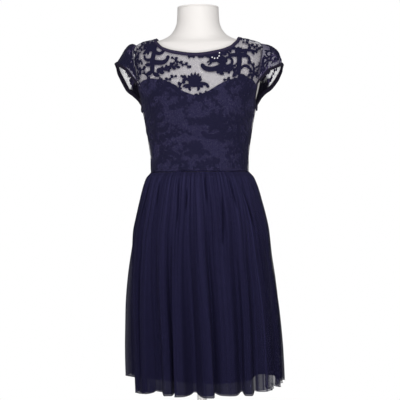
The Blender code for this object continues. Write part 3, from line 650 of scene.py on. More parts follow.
def neckline_station(angle, below=0.0):
    """Where the neckline runs, or a line that lies below it by so many metres."""
    rise = follow(NECKLINE, np.abs(np.degrees(angle)))[1]
    return slide_down(station_at(rise), angle, below)


# The cloth's edge lies a little below the middle of the binding that covers it.
UNDER_NECK_BINDING = 0.6 * NECK_BINDING_WIDTH


def armhole(turn, inset=0.0):
    """Rise and angle on the left armhole's oval. turn runs from the underarm (-1) up the front to
    the shoulder (0) and down the back to the underarm (1)."""
    cut = np.where(np.asarray(turn) < 0, ARMHOLE_CUT["front"], ARMHOLE_CUT["back"])
    share = 1 - inset
    rise = ARMHOLE_MIDDLE + share * ARMHOLE_HALF * np.cos(math.pi * np.asarray(turn))
    return rise, math.pi / 2 + share * cut * np.sin(math.pi * np.asarray(turn))


def side_path(facing):
    """(station, angle) up the side seam and the armhole, and the number of the place where the
    lining's top edge meets it, then along the shoulder seam."""
    sign = -1 if facing == "front" else 1
    top_rise = LINING_TOP[facing][-1][1]
    corner = math.acos((top_rise - ARMHOLE_MIDDLE) / ARMHOLE_HALF) / math.pi
    side_rises = np.concatenate([np.linspace(0.0003, 0.148, 26), [0.156]])
    low, high = np.linspace(1.0, corner, 22), np.linspace(corner, 0.0, 40)[1:]
    rises, angles = armhole(sign * np.concatenate([low, high]))
    neck = neckline_station(math.pi / 2, UNDER_NECK_BINDING)[0]
    shoulder = np.linspace(station_at(rises[-1]), neck, 26)[1:]
    stations = np.concatenate([station_at(side_rises), station_at(rises), shoulder])
    seams = [np.full(len(seam), math.pi / 2) for seam in (side_rises, shoulder)]
    return stations, np.concatenate([seams[0], angles, seams[1]]), len(side_rises) + len(low)


def between_edges(station, edge, across, facing, low, high, bend):
    """Rows that climb between two edges as the side path climbs; low and high are those edges'
    stations over the columns, and bend tells how late a row takes on the high edge's shape."""
    middle = PANEL_MIDDLE[facing]
    angle = across[None, :] * np.abs(middle - edge)[:, None] + middle
    foot, head = station[0], station[-1]
    climbed = ((station - foot) / (head - foot))[:, None]
    lifted = station[:, None] + (1 - climbed) * (low - foot) + climbed**bend * (high - head)
    return lifted, angle


def bodice_rows(facing, columns):
    """Stations and angles of a bodice side's lining rows, and of all its net rows."""
    across = np.linspace(-1, 1, columns + 1)
    station, edge, corner = side_path(facing)
    waist = np.full(columns + 1, station[0])
    sweetheart = station_at(follow(LINING_TOP[facing], np.abs(across))[1])
    neck = neckline_station(PANEL_MIDDLE[facing] - np.abs(across) * math.pi / 2, UNDER_NECK_BINDING)
    top = corner - 1
    low = between_edges(station[:corner], edge[:corner], across, facing, waist, sweetheart, 5)
    high = between_edges(station[top:], edge[top:], across, facing, sweetheart, neck, 1)
    return low, [np.concatenate([under, over[1:]]) for under, over in zip(low, high)]


# Where the cloth isn't held tight it stands off the form in soft drag lines and small blouses.
BODICE_RADIUS = 0.13
CREASES = [
    # degrees, rise, turn of the line, length, half width, height
    (-62, 0.060, 70, 0.080, 0.011, 0.0016),
    (-50, 0.035, 62, 0.070, 0.010, 0.0013),
    (58, 0.052, -68, 0.085, 0.011, 0.0015),
    (70, 0.085, -60, 0.070, 0.010, 0.0012),
    (-78, 0.110, 55, 0.060, 0.010, 0.0012),
    (-16, 0.011, 8, 0.060, 0.009, 0.0040),
    (-8, 0.004, -4, 0.050, 0.006, 0.0026),
    (24, 0.016, -12, 0.050, 0.009, 0.0022),
    (150, 0.050, 80, 0.080, 0.011, 0.0014),
    (-146, 0.062, -76, 0.085, 0.011, 0.0015),
    (118, 0.030, 60, 0.060, 0.010, 0.0013),
    (-112, 0.034, -58, 0.060, 0.010, 0.0012),
]


def degrees_from(angle, place):
    """How many degrees round the dress an angle is from a place."""
    return (np.degrees(angle) - place + 180) % 360 - 180


def crease_height(station, angle):
    """How far the creases lift the bodice there."""
    rise, total = rise_at(station), 0.0
    for degrees, at, turn, length, half_width, height in CREASES:
        x, y = np.radians(degrees_from(angle, degrees)) * BODICE_RADIUS, rise - at
        c, s = math.cos(math.radians(turn)), math.sin(math.radians(turn))
        along, across = x * c + y * s, -x * s + y * c
        bend = across - 0.9 * along * along / length
        total = total + height * np.exp(-((bend / half_width) ** 2) - (2 * along / length) ** 2 * 1.6)
    return total * smooth_step(rise / 0.004)


# The cut's own places: round the form from the middle of the panel, and up it from the waist.
CLIMB = walked_along(bare_torso(STATION_STEPS, math.radians(60)))
CLIMB -= np.interp(station_at(0.0), STATION_STEPS, CLIMB)
TURN_REACH = np.linspace(-2.2, 2.2, 331)
CUT_STATIONS = np.linspace(5.5, 25, 300)


def round_places(middle):
    """For each of the cut's stations, how far round the form each turn from the middle is."""
    grid = bare_torso(CUT_STATIONS[:, None], middle + TURN_REACH[None, :])
    walked = np.array([walked_along(row) for row in grid])
    return walked - walked[:, [len(TURN_REACH) // 2]]


ROUND_PLACES = {facing: round_places(middle) for facing, middle in PANEL_MIDDLE.items()}


def counted(value, steps):
    """Where values lie among even steps, in steps from the first."""
    return np.clip((value - steps[0]) / (steps[1] - steps[0]), 0, len(steps) - 1.001)


def sample(grid, i, j):
    """Values between a grid's rows i and columns j."""
    low, left = i.astype(int), j.astype(int)
    a, b = i - low, j - left
    return (
        grid[low, left] * (1 - a) * (1 - b)
        + grid[low + 1, left] * a * (1 - b)
        + grid[low, left + 1] * (1 - a) * b
        + grid[low + 1, left + 1] * a * b
    )


def cut_places(station, angle, facing):
    """Flat places on the cut of points on the form."""
    i, j = counted(station, CUT_STATIONS), counted(angle - PANEL_MIDDLE[facing], TURN_REACH)
    return np.stack([sample(ROUND_PLACES[facing], i, j), np.interp(station, STATION_STEPS, CLIMB)], -1)


BODICE_COLUMNS = 120
bodice_cuts = {facing: bodice_rows(facing, BODICE_COLUMNS) for facing in PANEL_MIDDLE}
PANEL_COLUMNS = {
    "front": slice(None),
    "back_left": slice(0, BODICE_COLUMNS // 2 + 1),
    "back_right": slice(BODICE_COLUMNS // 2, None),
}


def bodice_sheet(part, rows, off_form):
    """A bodice panel's points and their flat places, from the top down."""
    facing = part.split("_")[0]
    station, angle = [values[::-1, PANEL_COLUMNS[part]] for values in rows]
    grid = on_torso(station, angle, off_form + crease_height(station, angle))
    return grid, cut_places(station, angle, facing)


LINING_CUTS = {"front": (0.46, 0.25), "back_left": (0.22, 0.22), "back_right": (0.22, 0.22)}
BODICE_LINING_THICKNESS = 0.0005
for part, size in LINING_CUTS.items():
    lining_rows, _ = bodice_cuts[part.split("_")[0]]
    grid, flat = bodice_sheet(part, lining_rows, LINING_OFF_FORM)
    panel = cloth(f"bodice_lining_{part}_satin", grid, flat, satin, BODICE_LINING_THICKNESS)
    hand_over(panel, f"bodice_lining_{part}")

# --- Bodice net ---------------------------------------------------------------------------------
# Fine hexagonal nylon net, laid over the lining and on up to the neck as the see-through yoke. The
# front is one piece, and the two backs meet at the zip.

# Hexagonal nylon net: hair-thin threads round open cells, so most of the light goes through.
net, net_surface = new_finish("navy_hexagonal_net", "4d486d", 0.7, NO_GLARE)
# Its cells are 1 mm across; they are drawn 1.6 mm across, so that they show.
NET_PITCH = 0.0016


def hexagons(material, pitch):
    """A value that is near -1 on the threads of a hexagonal net, -1.5 where they meet, and 3 in
    the middle of its cells."""
    place, total = node(material, "UVMap", uv_map="cut").outputs["UV"], 0.0
    for turn in np.radians([0, 120, 240]):
        across = [2 * math.pi / pitch * share for share in (math.cos(turn), math.sin(turn), 0.0)]
        along = node(material, "VectorMath", {0: place, 1: across}, operation="DOT_PRODUCT").outputs["Value"]
        wave = node(material, "Math", {0: along}, operation="COSINE")
        total = node(material, "Math", {0: total, 1: wave}, operation="ADD")
    return total


def mesh_of_threads(material, surface, thread_edges, in_cells):
    """Threads that stop nearly all the light round cells that stop in_cells of it."""
    spread = {"From Min": thread_edges[0], "From Max": thread_edges[1], "To Min": 0.92, "To Max": in_cells}
    threads = node(material, "MapRange", {"Value": hexagons(material, NET_PITCH), **spread})
    bump = node(material, "Bump", {"Height": threads, "Strength": 0.3, "Distance": 0.0002})
    node(material, surface, {"Alpha": threads, "Normal": bump})


mesh_of_threads(net, net_surface, (-1.08, -0.74), 0.03)

NET_CUTS = {"front": (0.48, 0.40), "back_left": (0.26, 0.40), "back_right": (0.26, 0.40)}
for part, size in NET_CUTS.items():
    _, net_rows = bodice_cuts[part.split("_")[0]]
    grid, flat = bodice_sheet(part, net_rows, NET_OFF_FORM)
    panel = cloth(f"bodice_net_{part}_tulle", grid, flat, net)
    hand_over(panel, f"bodice_net_{part}")

# --- Bodice embroidery --------------------------------------------------------------------------
# Padded satin stitch in navy rayon, worked on the net before it is cut: hooked scrolls, leafy
# branches and a palmette, in a repeat of 472 by 177 mm. It stands up to a millimetre off the net.

# In millimetres: the repeat, how high above the waist its first palmette is, and the distance
# between a stitched line's points.
REPEAT_WIDE, REPEAT_HIGH = 472.0, 177.0
REPEAT_UP = 225.0
STITCH_STEP = 1.6


def vine(x, y, heading, length, turns, widths, ball=0.0):
    """A stitched line in millimetres that grows from a point. Its heading turns by so many degrees
    over each equal part of its length, its width runs from root to belly to tip, and ball is the
    radius of the round end."""
    along = np.linspace(0, 1, max(5, int(length / STITCH_STEP) + 1))
    centres = (np.arange(len(turns)) + 0.5) / len(turns)
    rate = np.interp(along, centres, np.array(turns, float) * len(turns))
    turned = np.concatenate([[0], np.cumsum((rate[1:] + rate[:-1]) / 2 * np.diff(along))])
    headings = np.radians(heading + turned)
    middle, steps = (headings[1:] + headings[:-1]) / 2, length * np.diff(along)
    walk = np.cumsum(np.stack([steps * np.cos(middle), steps * np.sin(middle)], 1), axis=0)
    line = np.concatenate([[(x, y)], (x, y) + walk])
    root, belly, tip = widths
    bulge = np.clip(np.sin(np.pi * along), 0, 1) ** 0.8
    half = (root * (1 - along) + tip * along) / 2 + (belly - (root + tip) / 2) / 2 * bulge
    left = (1 - along) * length
    if ball:
        rounded = np.sqrt(np.clip(ball**2 - (left - ball) ** 2, 0, None))
        half = np.maximum(half * (left > ball), rounded)
        half[-1] = 0.05
    else:
        widest = half.max()
        cap = np.minimum(left, widest)
        half = np.minimum(half, np.sqrt(np.clip(cap * (2 * widest - cap), 0, None)) + 0.05)
    return {"line": line, "half": half, "heading": np.degrees(headings)}


def leaf(x, y, heading, length, width, turn=20):
    """A short pointed leaf, widest at its middle."""
    return vine(x, y, heading, length, (turn / 2, turn / 2), (width * 0.35, width, 0.2))


def leaves_along(stem, size, width, every, lean, start=0.1, end=1.0, sides=(1, -1), shrink=0.0):
    """Small leaves on a stem, on its sides in turn."""
    made, line = [], stem["line"]
    walked = walked_along(line)
    for k, place in enumerate(np.arange(start * walked[-1], end * walked[-1], every)):
        x, y, heading = (np.interp(place, walked, v) for v in (*line.T, stem["heading"]))
        side = sides[k % len(sides)]
        # No two leaves are quite alike.
        scale = (1 - shrink * place / walked[-1]) * (1 + 0.16 * math.sin(7.3 * k + x))
        made.append(leaf(x, y, heading + side * lean, size * scale, width * scale, -side * 25))
    return made


def moved(stitches, x, y, turn=0.0, size=1.0, flip=1):
    """The same stitches, turned, scaled, and mirrored where flip is -1."""
    c, s = math.cos(math.radians(turn)), math.sin(math.radians(turn))
    made = []
    for stitch in stitches:
        line = stitch["line"] * np.array([flip, 1]) * size
        line = np.stack([x + line[:, 0] * c - line[:, 1] * s, y + line[:, 0] * s + line[:, 1] * c], 1)
        made.append({"line": line, "half": stitch["half"] * size, "heading": stitch["heading"]})
    return made


def palmette():
    """A jagged fan of leaves on a broad body, with a tail on one side and a hook on the other."""
    made = [vine(-5, -15, 84, 28, (0, 0), (14, 22, 12)), vine(6, -15, 96, 26, (0, 0), (14, 22, 12))]
    for k, heading in enumerate((24, 44, 64, 84, 106, 128, 150)):
        a = math.radians(heading)
        long = (15, 18, 21, 22, 21, 19, 17)[k]
        made.append(leaf(9 * math.cos(a), -3 + 6 * math.sin(a), heading, long, 8.5, 16 - 5 * k))
    made.append(vine(10, -8, 8, 34, (-2, -12, -44, -56), (11, 9, 6), 4.2))
    made.append(vine(-12, 2, 158, 28, (-30, 60), (6, 7, 3), 2.8))
    made += [leaf(-22, 8, 100, 11, 7, 20), leaf(-26, 10, 150, 9, 6, 0), leaf(-12, -9, 186, 20, 8, 24)]
    made.append(vine(11, -13, -66, 14, (-30, -60), (8, 7, 4), 3.0))
    made.append(vine(-11, -12, 246, 15, (30, 60), (8, 7, 4), 3.0))
    return made + [leaf(-15, -13, 204, 10, 7, 0), leaf(15, -12, -24, 10, 7, 0)]


def comma_scroll():
    """A fat comma with a ball end, and a curl that grows out of its root."""
    body = vine(4, 6, 226, 70, (-14, -24, -32, -60), (8, 14, 9), 5.4)
    curl = vine(-2, 0, -14, 56, (10, 62, 84, 60), (8, 7, 5), 3.6)
    made = [body, curl, vine(-2, 6, 166, 28, (-40, 84), (7, 7, 4), 3.2)]
    made += [leaf(5, 6, 96, 16, 9, -20), leaf(10, -3, -56, 15, 9, 20)]
    return made + leaves_along(curl, 9, 6, 9, 60, 0.1, 0.5, (-1,))


def plant_up():
    """A thick trunk whose hooks hold their balls up."""
    trunk = vine(0, -36, 93, 72, (2, -12, -6, 12), (11, 13, 9))
    made = [trunk]
    made.append(vine(3, -5, -14, 49, (8, 18, 42, 56), (13, 12, 6), 5.2))
    made.append(vine(4, 24, -56, 36, (30, 44, 40, 16), (10, 9, 6), 4.4))
    made.append(vine(3, 36, 22, 28, (6, -40, -60), (9, 8, 5), 3.8))
    made += [vine(-3, 2, 200, 30, (-16, -50, -70), (9, 8, 5), 3.4), leaf(-3, 26, 172, 22, 9, 30)]
    made += [leaf(-3, -14, 164, 20, 10, 24), leaf(0, -30, 214, 22, 12, -24), leaf(2, -34, 322, 22, 11, 24)]
    return made + [leaf(-2, 36, 92 + 32 * k, 17, 10, -12 * k) for k in (0, 1, 2)]


def plant_down():
    """A thick trunk whose hooks hang their balls down, under a leafy crown."""
    trunk = vine(3, -40, 99, 70, (-14, 4, 12, 8), (9, 13, 10))
    crown = vine(-9, 21, 16, 64, (-4, -8, -8, -12), (9, 8, 5), 4.0)
    made = [trunk, crown] + leaves_along(crown, 11, 8, 11, 62, 0.2, 0.95, (1, -1))
    made.append(vine(3, 13, 6, 44, (-6, -30, -56, -60), (14, 9, 5), 4.8))
    made.append(vine(8, -24, 70, 30, (-34, -54, -50), (4, 8, 5), 4.2))
    made.append(vine(-4, 12, 164, 26, (30, 60), (9, 9, 4), 3.6))
    made += [leaf(-6, 30, 176, 22, 10, -30), leaf(0, -32, 216, 20, 11, 24)]
    return made + [leaf(6, -38, -34, 22, 11, 24), leaf(4, -40, -80, 14, 10, 0)]


def spray():
    """A dense branch of broad pointed leaves."""
    stem = vine(0, 0, 0, 56, (24, -30, -20), (6, 7, 4))
    made = [stem] + leaves_along(stem, 13.5, 9.4, 6.4, 56, 0.02, 1.0, (1, -1), 0.2)
    line, heading = stem["line"], stem["heading"]
    third = len(line) // 3
    for at, side in ((third, -1), (2 * third, 1)):
        twig = vine(*line[at], heading[at] + side * 58, 20, (-side * 24, -side * 30), (5, 5, 3))
        made += [twig] + leaves_along(twig, 10.5, 7.6, 6.4, 52, 0.3, 1.0, (1, -1), 0.2)
    return made + [leaf(*line[-1], heading[-1], 12, 8, 10)]


def sprig():
    """A chain of buds."""
    stem = vine(0, 0, 0, 46, (-30, 44, -24), (3.2, 4, 3.2))
    made = [stem] + leaves_along(stem, 10, 8.0, 8.6, 62, 0.05, 1.0, (1, -1), 0.1)
    made.append(vine(*stem["line"][-1], stem["heading"][-1], 11, (0, 0), (3.2, 5, 5), 4.6))
    return made + [vine(0, 0, 150, 11, (20, 20), (3, 4.4, 4.4), 4.0)]


def crescent():
    """Two thin arcs, one inside the other."""
    outer = vine(0, 0, 30, 46, (50, 50, 50), (2, 6, 2))
    made = [outer, vine(4, 8, 42, 22, (50, 60), (2, 4, 2))]
    made += [leaf(-2, 2, 200, 13, 8, 20), leaf(1, -1, 280, 14, 8, -20)]
    return made + leaves_along(outer, 10, 6.6, 9.5, 55, 0.15, 0.9, (-1,))


def rosette():
    """A lacy ring of lobes with leafy arms."""
    made = []
    for k in range(8):
        a = math.radians(45 * k + 12)
        made.append(leaf(4.6 * math.cos(a), 4.6 * math.sin(a), 45 * k + 12, 13, 9.6, 16))
    made.append(vine(4.8, 0, 90, 2 * math.pi * 4.8, (90, 90, 90, 90), (4.4, 4.4, 4.4)))
    arms = {8: (10, -50), 172: (-10, 60), 140: (30, 40), -30: (-20, -40), 60: (-30, 50)}
    for heading, turns in arms.items():
        a = math.radians(heading)
        arm = vine(11 * math.cos(a), 11 * math.sin(a), heading, 26, turns, (9, 8, 4))
        made += [arm] + leaves_along(arm, 11.5, 8.0, 7.4, 54, 0.1, 1.0, (1, -1), 0.2)
    return made


# One repeat, measured from its palmette.
LAYOUT = [
    # motif, x, y, turn, size and flip where they aren't 0, 1 and 1
    (palmette, 0, 12),
    (comma_scroll, 73, 54),
    (rosette, 54, 80, 6),
    (rosette, 60, 72, 40, 0.7),
    (rosette, 44, 84, 20, 0.8),
    (sprig, 132, 114, -8, 0.9),
    (spray, 36, 86, 176, 0.85),
    (sprig, 62, 92, 14),
    (plant_down, 113, 68, -2),
    (plant_up, -108, 72, -2),
    (sprig, -52, 72, -20, 0.9),
    (sprig, -16, 84, 278, 0.9, -1),
    (spray, -96, 38, 14, 0.95),
    (sprig, -52, 24, 8, 0.85, -1),
    (crescent, 150, 30, 8),
    (spray, 58, 34, 8, 0.95),
    (sprig, 84, 14, 12, 0.9),
    (spray, 196, 26, 160, 0.9),
    (rosette, 200, 58, 30, 0.9),
    (comma_scroll, 226, 60, 20, 0.9),
    (crescent, -128, 8, 10),
    (rosette, -172, 72, -10, 0.9),
    (sprig, -150, 48, 262, 0.9),
    (comma_scroll, -176, 100, 140, 0.8, -1),
    (sprig, -176, 26, 40),
    (palmette, 236, 12, 0, 0.95, -1),
    (sprig, 190, 104, 10),
    (spray, -134, 108, 16, 0.9),
    (sprig, -152, 104, 10, 0.9),
    # below the line of palmettes
    (comma_scroll, -36, -22, 150, 0.85, -1),
    (rosette, -88, -12, 40, 0.9),
    (spray, 62, -16, 190, 0.95),
    (crescent, 26, -54, 60),
    (spray, 118, -30, 250, 0.9, -1),
    (sprig, -10, -46, 200, 0.9),
    (plant_down, -124, -48, 10, 0.8, -1),
    (sprig, 66, -52, 150, 0.9),
    (rosette, 150, -22, 70, 0.9),
    (sprig, 88, -4, 30, 1.1),
    (crescent, 100, -26, 10, 1.1, -1),
    (sprig, -60, -30, 60, 1.1),
    (comma_scroll, 196, -20, 200, 0.85),
    (spray, -168, -10, 300, 0.9),
    (crescent, -196, -40, 140),
    (sprig, 190, -56, 20, 0.9),
    (spray, -64, -62, 20, 0.85),
]
one_repeat = []
for motif, *place in LAYOUT:
    one_repeat += moved(motif(), *place)

# A stitched line's section: how far across its half width, and how high.
STITCH_SECTION = [(-1.0, 0.1), (-0.6, 0.75), (0.0, 1.0), (0.6, 0.75), (1.0, 0.1)]


def stitched(stitches):
    """Flat places in metres, heights, thread places and faces of a set of stitched lines."""
    places, heights, threads, faces = [], [], [], []
    start, width = 0, len(STITCH_SECTION)
    for stitch in stitches:
        line, half = stitch["line"], stitch["half"]
        along = unit(np.gradient(line, axis=0))
        aside = np.stack([-along[:, 1], along[:, 0]], 1)
        walked = walked_along(line)
        # Broad lines are padded more than narrow ones, up to just under a millimetre.
        high = np.minimum(0.00095, 0.00035 + 0.00012 * half) * np.clip(half / 0.8, 0.25, 1)
        for share, height in STITCH_SECTION:
            places.append((line + aside * (share * half)[:, None]) / 1000)
            heights.append(high * height)
            threads.append(np.stack([walked, share * half], 1) / 1000)
        count = len(line)
        number = start + np.arange(width)[:, None] * count + np.arange(count)[None, :]
        quads = np.stack([number[:-1, :-1], number[:-1, 1:], number[1:, 1:], number[1:, :-1]], -1)
        faces.append(quads.reshape(-1, 4))
        start += width * count
    return [np.concatenate(rows) for rows in (places, heights, threads, faces)]


def keep_faces(points, threads, faces, kept):
    """Only the faces whose points are all kept, and only the points that they use."""
    faces = faces[kept[faces].all(1)]
    used = np.unique(faces)
    renumber = np.zeros(len(points), int)
    renumber[used] = np.arange(len(used))
    return points[used], threads[used], renumber[faces]


# Rayon satin stitch: parallel glossy threads laid across each line, darker than the net. They lie
# 0.4 mm apart, and are drawn 0.8 mm apart, so that they show.
RAYON_SPACING = 0.0008
rayon, rayon_surface = new_finish("navy_rayon_satin_stitch", "1e1d32", 0.5, bloom(0.06, "6a66a0", 0.5))
rayon_along = node(rayon, "SeparateXYZ", {0: node(rayon, "UVMap", uv_map="cut").outputs["UV"]}).outputs["X"]
rayon_turn = node(rayon, "Math", {0: rayon_along, 1: 2 * math.pi / RAYON_SPACING}, operation="MULTIPLY")
rayon_wave = node(rayon, "Math", {0: rayon_turn}, operation="SINE")
rayon_bump = node(rayon, "Bump", {"Height": rayon_wave, "Strength": 0.35, "Distance": 0.0002})
rayon_gloss = node(rayon, "MapRange", {"Value": rayon_wave, "From Min": -1.0, "To Min": 0.44, "To Max": 0.58})
node(rayon, rayon_surface, {"Normal": rayon_bump, "Roughness": rayon_gloss, "Anisotropic": 0.4})


def embroidery(name, points, threads, faces):
    """Stitched lines as one piece, with their thread places for the weave."""
    piece = add_mesh(name, points, faces.tolist(), rayon)
    lay_flat(piece, threads)
    return hand_over(piece)


def form_places(flat, facing):
    """Stations and angles on the form of flat places on the cut."""
    station = np.interp(flat[:, 1], CLIMB, STATION_STEPS)
    across = np.linspace(-0.34, 0.34, 401)
    turns = np.array([np.interp(across, row, TURN_REACH) for row in ROUND_PLACES[facing]])
    aside = sample(turns, counted(station, CUT_STATIONS), counted(flat[:, 0], across))
    return station, PANEL_MIDDLE[facing] + aside


def on_cut(station, angle, facing):
    """Which places lie on the cut panel: clear of the neck, armholes, side seams and waist."""
    rise, middle = rise_at(station), PANEL_MIDDLE[facing]
    aside = np.abs(angle - middle)
    round_neck = np.linspace(0, math.pi, 181)
    neck_stations = neckline_station(round_neck, UNDER_NECK_BINDING)
    neck = np.interp(np.abs(middle - aside), round_neck, neck_stations)
    from_seam = (math.pi / 2 - aside) / ARMHOLE_CUT[facing]
    in_armhole = ((rise - ARMHOLE_MIDDLE) / ARMHOLE_HALF) ** 2 + from_seam**2 < 1.06
    return (rise > 0.001) & (station < neck) & (aside < math.pi / 2) & ~in_armhole


# The repeat's palmette is a little off the middle in front, and well off it behind.
REPEAT_ASIDE = {"front": -5.0, "back": 113.0}
ZIP_CLEARANCE, NET_CUT_SHARE = 0.0015, 0.68
for facing, shift in REPEAT_ASIDE.items():
    repeats = []
    for across in range(-1, 2):
        for up in range(-2, 3):
            repeats += moved(one_repeat, shift + across * REPEAT_WIDE, REPEAT_UP + up * REPEAT_HIGH)
    # Only the lines that may reach the panel are stitched.
    starts = [stitch["line"][0] for stitch in repeats]
    near = [abs(x) < 320 and -60 < y < 520 for x, y in starts]
    repeats = [stitch for stitch, wanted in zip(repeats, near) if wanted]
    flat, height, threads, faces = stitched(repeats)
    station, angle = form_places(flat, facing)
    lift = NET_OFF_FORM + 0.0001 + height + crease_height(station, angle)
    points = on_torso(station, angle, lift)
    kept = on_cut(station, angle, facing)
    x = points[:, 0]
    halves = {"front": kept}
    if facing == "back":
        halves = {"back_left": kept & (x > ZIP_CLEARANCE), "back_right": kept & (x < -ZIP_CLEARANCE)}
    for part, half in halves.items():
        cut_out = keep_faces(points, threads, faces, half)
        embroidery(f"embroidery_{part}", *cut_out)

# --- Cap sleeves --------------------------------------------------------------------------------
# Two small caps of the same embroidered net. Each is gathered a little into the upper armhole, puffs
# up there, and narrows to nothing before the underarm.

SLEEVE = [
    # turn, out, behind, up, puff
    (-0.54, 0.0030, 0.0030, -0.0010, 0.0000),
    (-0.45, 0.0106, 0.0029, -0.0104, 0.0030),
    (-0.35, 0.0185, 0.0000, -0.0199, 0.0065),
    (-0.25, 0.0285, -0.0010, -0.0317, 0.0095),
    (-0.10, 0.0475, -0.0010, -0.0421, 0.0125),
    (0.00, 0.0568, 0.0000, -0.0448, 0.0130),
    (0.12, 0.0490, 0.0042, -0.0510, 0.0125),
    (0.25, 0.0385, 0.0083, -0.0570, 0.0100),
    (0.38, 0.0340, 0.0100, -0.0500, 0.0080),
    (0.50, 0.0225, 0.0097, -0.0355, 0.0050),
    (0.62, 0.0120, 0.0060, -0.0215, 0.0020),
    (0.72, 0.0070, 0.0020, -0.0120, 0.0008),
    (0.82, 0.0050, 0.0000, -0.0060, 0.0003),
    (0.90, 0.0030, -0.0020, -0.0020, 0.0000),
]
SLEEVE_FRONT, SLEEVE_BACK = SLEEVE[0][0], SLEEVE[-1][0]
SLEEVE_SEAM_INSET = 0.012
SLEEVE_GATHERS = [
    # how many round the head, height
    (8, 0.0016),
    (17, 0.0009),
]
# The wearer's left cap is fuller and longer.
SLEEVE_FULLNESS = {
    # how much it puffs, spreads and falls, how far its puff points up, how much narrower it gets behind
    "left": (1.0, 1.04, 1.25, 0.25, 0.55),
    "right": (1.0, 1.0, 1.0, 0.9, 0.0),
}
SLEEVE_LENGTH = 0.075


def sleeve_points(turn, share, fullness):
    """Points of a sleeve, from its seam (0) to its free edge (1), as worn on the left."""
    turn, share = np.broadcast_arrays(turn, share)
    _, out, behind, up, puff = follow(SLEEVE, turn)
    rise, angle = armhole(turn, SLEEVE_SEAM_INSET)
    seam = on_torso(station_at(rise), angle, NET_OFF_FORM)
    along = (turn - SLEEVE_FRONT) / (SLEEVE_BACK - SLEEVE_FRONT)
    for count, height in SLEEVE_GATHERS:
        puff = puff + height * np.cos(2 * math.pi * count * along) * np.sin(math.pi * along)
    swell, spread, fall, upward, narrowing = fullness
    fall = fall + (1 - fall) * smooth_step((turn + 0.08) / 0.33)
    spread = spread - narrowing * smooth_step((turn - 0.2) / 0.42)
    level = np.ones_like(turn)
    lifted = np.stack([(1.35 - upward) * level, 0.8 * np.sin(math.pi * turn / 2), upward * level], -1)
    hump = (swell * puff * share**0.8 * (1 - share) ** (1 + upward) * 5.2)[..., None]
    reach = np.stack([spread * out, spread * behind, fall * up], -1)
    return seam + reach * share[..., None] + unit(lifted) * hump


def sleeve_normals(turn, share, fullness):
    """Which way a sleeve faces at each place, as worn on the left."""
    low, high = np.maximum(turn - 0.01, SLEEVE_FRONT), np.minimum(turn + 0.01, SLEEVE_BACK)
    near, far = np.maximum(share - 0.03, 0.0), np.minimum(share + 0.03, 1.0)
    round_it = sleeve_points(high, share, fullness) - sleeve_points(low, share, fullness)
    out_it = sleeve_points(turn, far, fullness) - sleeve_points(turn, near, fullness)
    return unit(np.cross(out_it, round_it))


def note(piece, name, values):
    """A value for each point of a piece, which its material reads."""
    kept = piece.data.attributes.new(name, "FLOAT", "POINT")
    kept.data.foreach_set("value", np.ascontiguousarray(values, np.float32).ravel())


# The same net, whose cells stop much of the light on top of the cap, where it is gathered double,
# little behind that, and nearly all where it is drawn together under the arm. There its dye also
# goes to near black, as painted shade of the inside of the armhole.
cap_net, cap_net_surface = new_finish("navy_net_gathered_double_painted_shade", "463f5e", 0.7, NO_GLARE)
cap_cover = node(cap_net, "Attribute", attribute_name="cover").outputs["Fac"]
mesh_of_threads(cap_net, cap_net_surface, (-1.06, -0.5), cap_cover)
# Painted shade: the dye goes to near black where the cover is highest, under the arm.
cap_painted_shade = node(cap_net, "MapRange", {"Value": cap_cover, "From Min": 0.68, "From Max": 0.9})
cap_dye_and_shade = node(cap_net, "Mix", {"Factor": cap_painted_shade}, data_type="RGBA")
node(cap_net, cap_dye_and_shade, {6: colour("463f5e"), 7: colour("17151f")})
node(cap_net, cap_net_surface, {"Base Color": cap_dye_and_shade.outputs[2]})

MIRROR = np.array([-1.0, 1.0, 1.0])
# Places in millimetres: behind the top of the shoulder, and up from the free edge.
SLEEVE_MOTIFS = {
    "right": [
        # motif, x, y, turn, size and flip where they aren't 0, 1 and 1
        (rosette, -66, 52, 30),
        (rosette, -40, 26, 10),
        (spray, -30, 52, -10, 0.95),
        (rosette, -14, 64, -10, 0.9),
        (rosette, 18, 60, 30, 0.9),
        (plant_up, 2, 36, 80, 0.75),
        (spray, 12, 20, 20, 0.95, -1),
        (spray, -84, 28, 14, 0.9),
        (sprig, -100, 44, -30),
        (rosette, -98, 62, 0, 0.8),
        (crescent, -12, 8, 20),
        (spray, -62, 12, 10, 0.9),
        (spray, -16, 12, 160, 0.9),
    ],
    "left": [
        (crescent, -62, 44, 30, 1.1),
        (sprig, -44, 22, 20, 1.1),
        (comma_scroll, -34, 58, 150, 0.7),
        (spray, -22, 14, 60, 0.9),
        (plant_up, 8, 38, 70, 0.75, -1),
        (sprig, -8, 62, -20, 0.9),
        (rosette, -88, 58, 20, 0.8),
        (spray, -98, 30, 14, 0.9),
    ],
    "behind": [
        (comma_scroll, 34, 46, -20, 0.8),
        (sprig, 44, 22, 10, 0.9),
        (sprig, 74, 40, 40),
        (spray, 84, 70, -10, 0.7),
        (rosette, 124, 16),
        (rosette, 126, 58, 20, 1.1),
        (rosette, 146, 40, 50, 1.2),
        (rosette, 150, 8, 10, 1.1),
        (spray, 150, 66, 10, 1.1),
        (rosette, 168, 24, 0, 1.2),
        (rosette, 172, 56, 30, 1.2),
        (rosette, 192, 36, 0, 1.2),
        (rosette, 210, 40, 20),
    ],
}
sleeve_turns = np.linspace(SLEEVE_FRONT, SLEEVE_BACK, 121)
sleeve_shares = np.linspace(0, 1, 25)
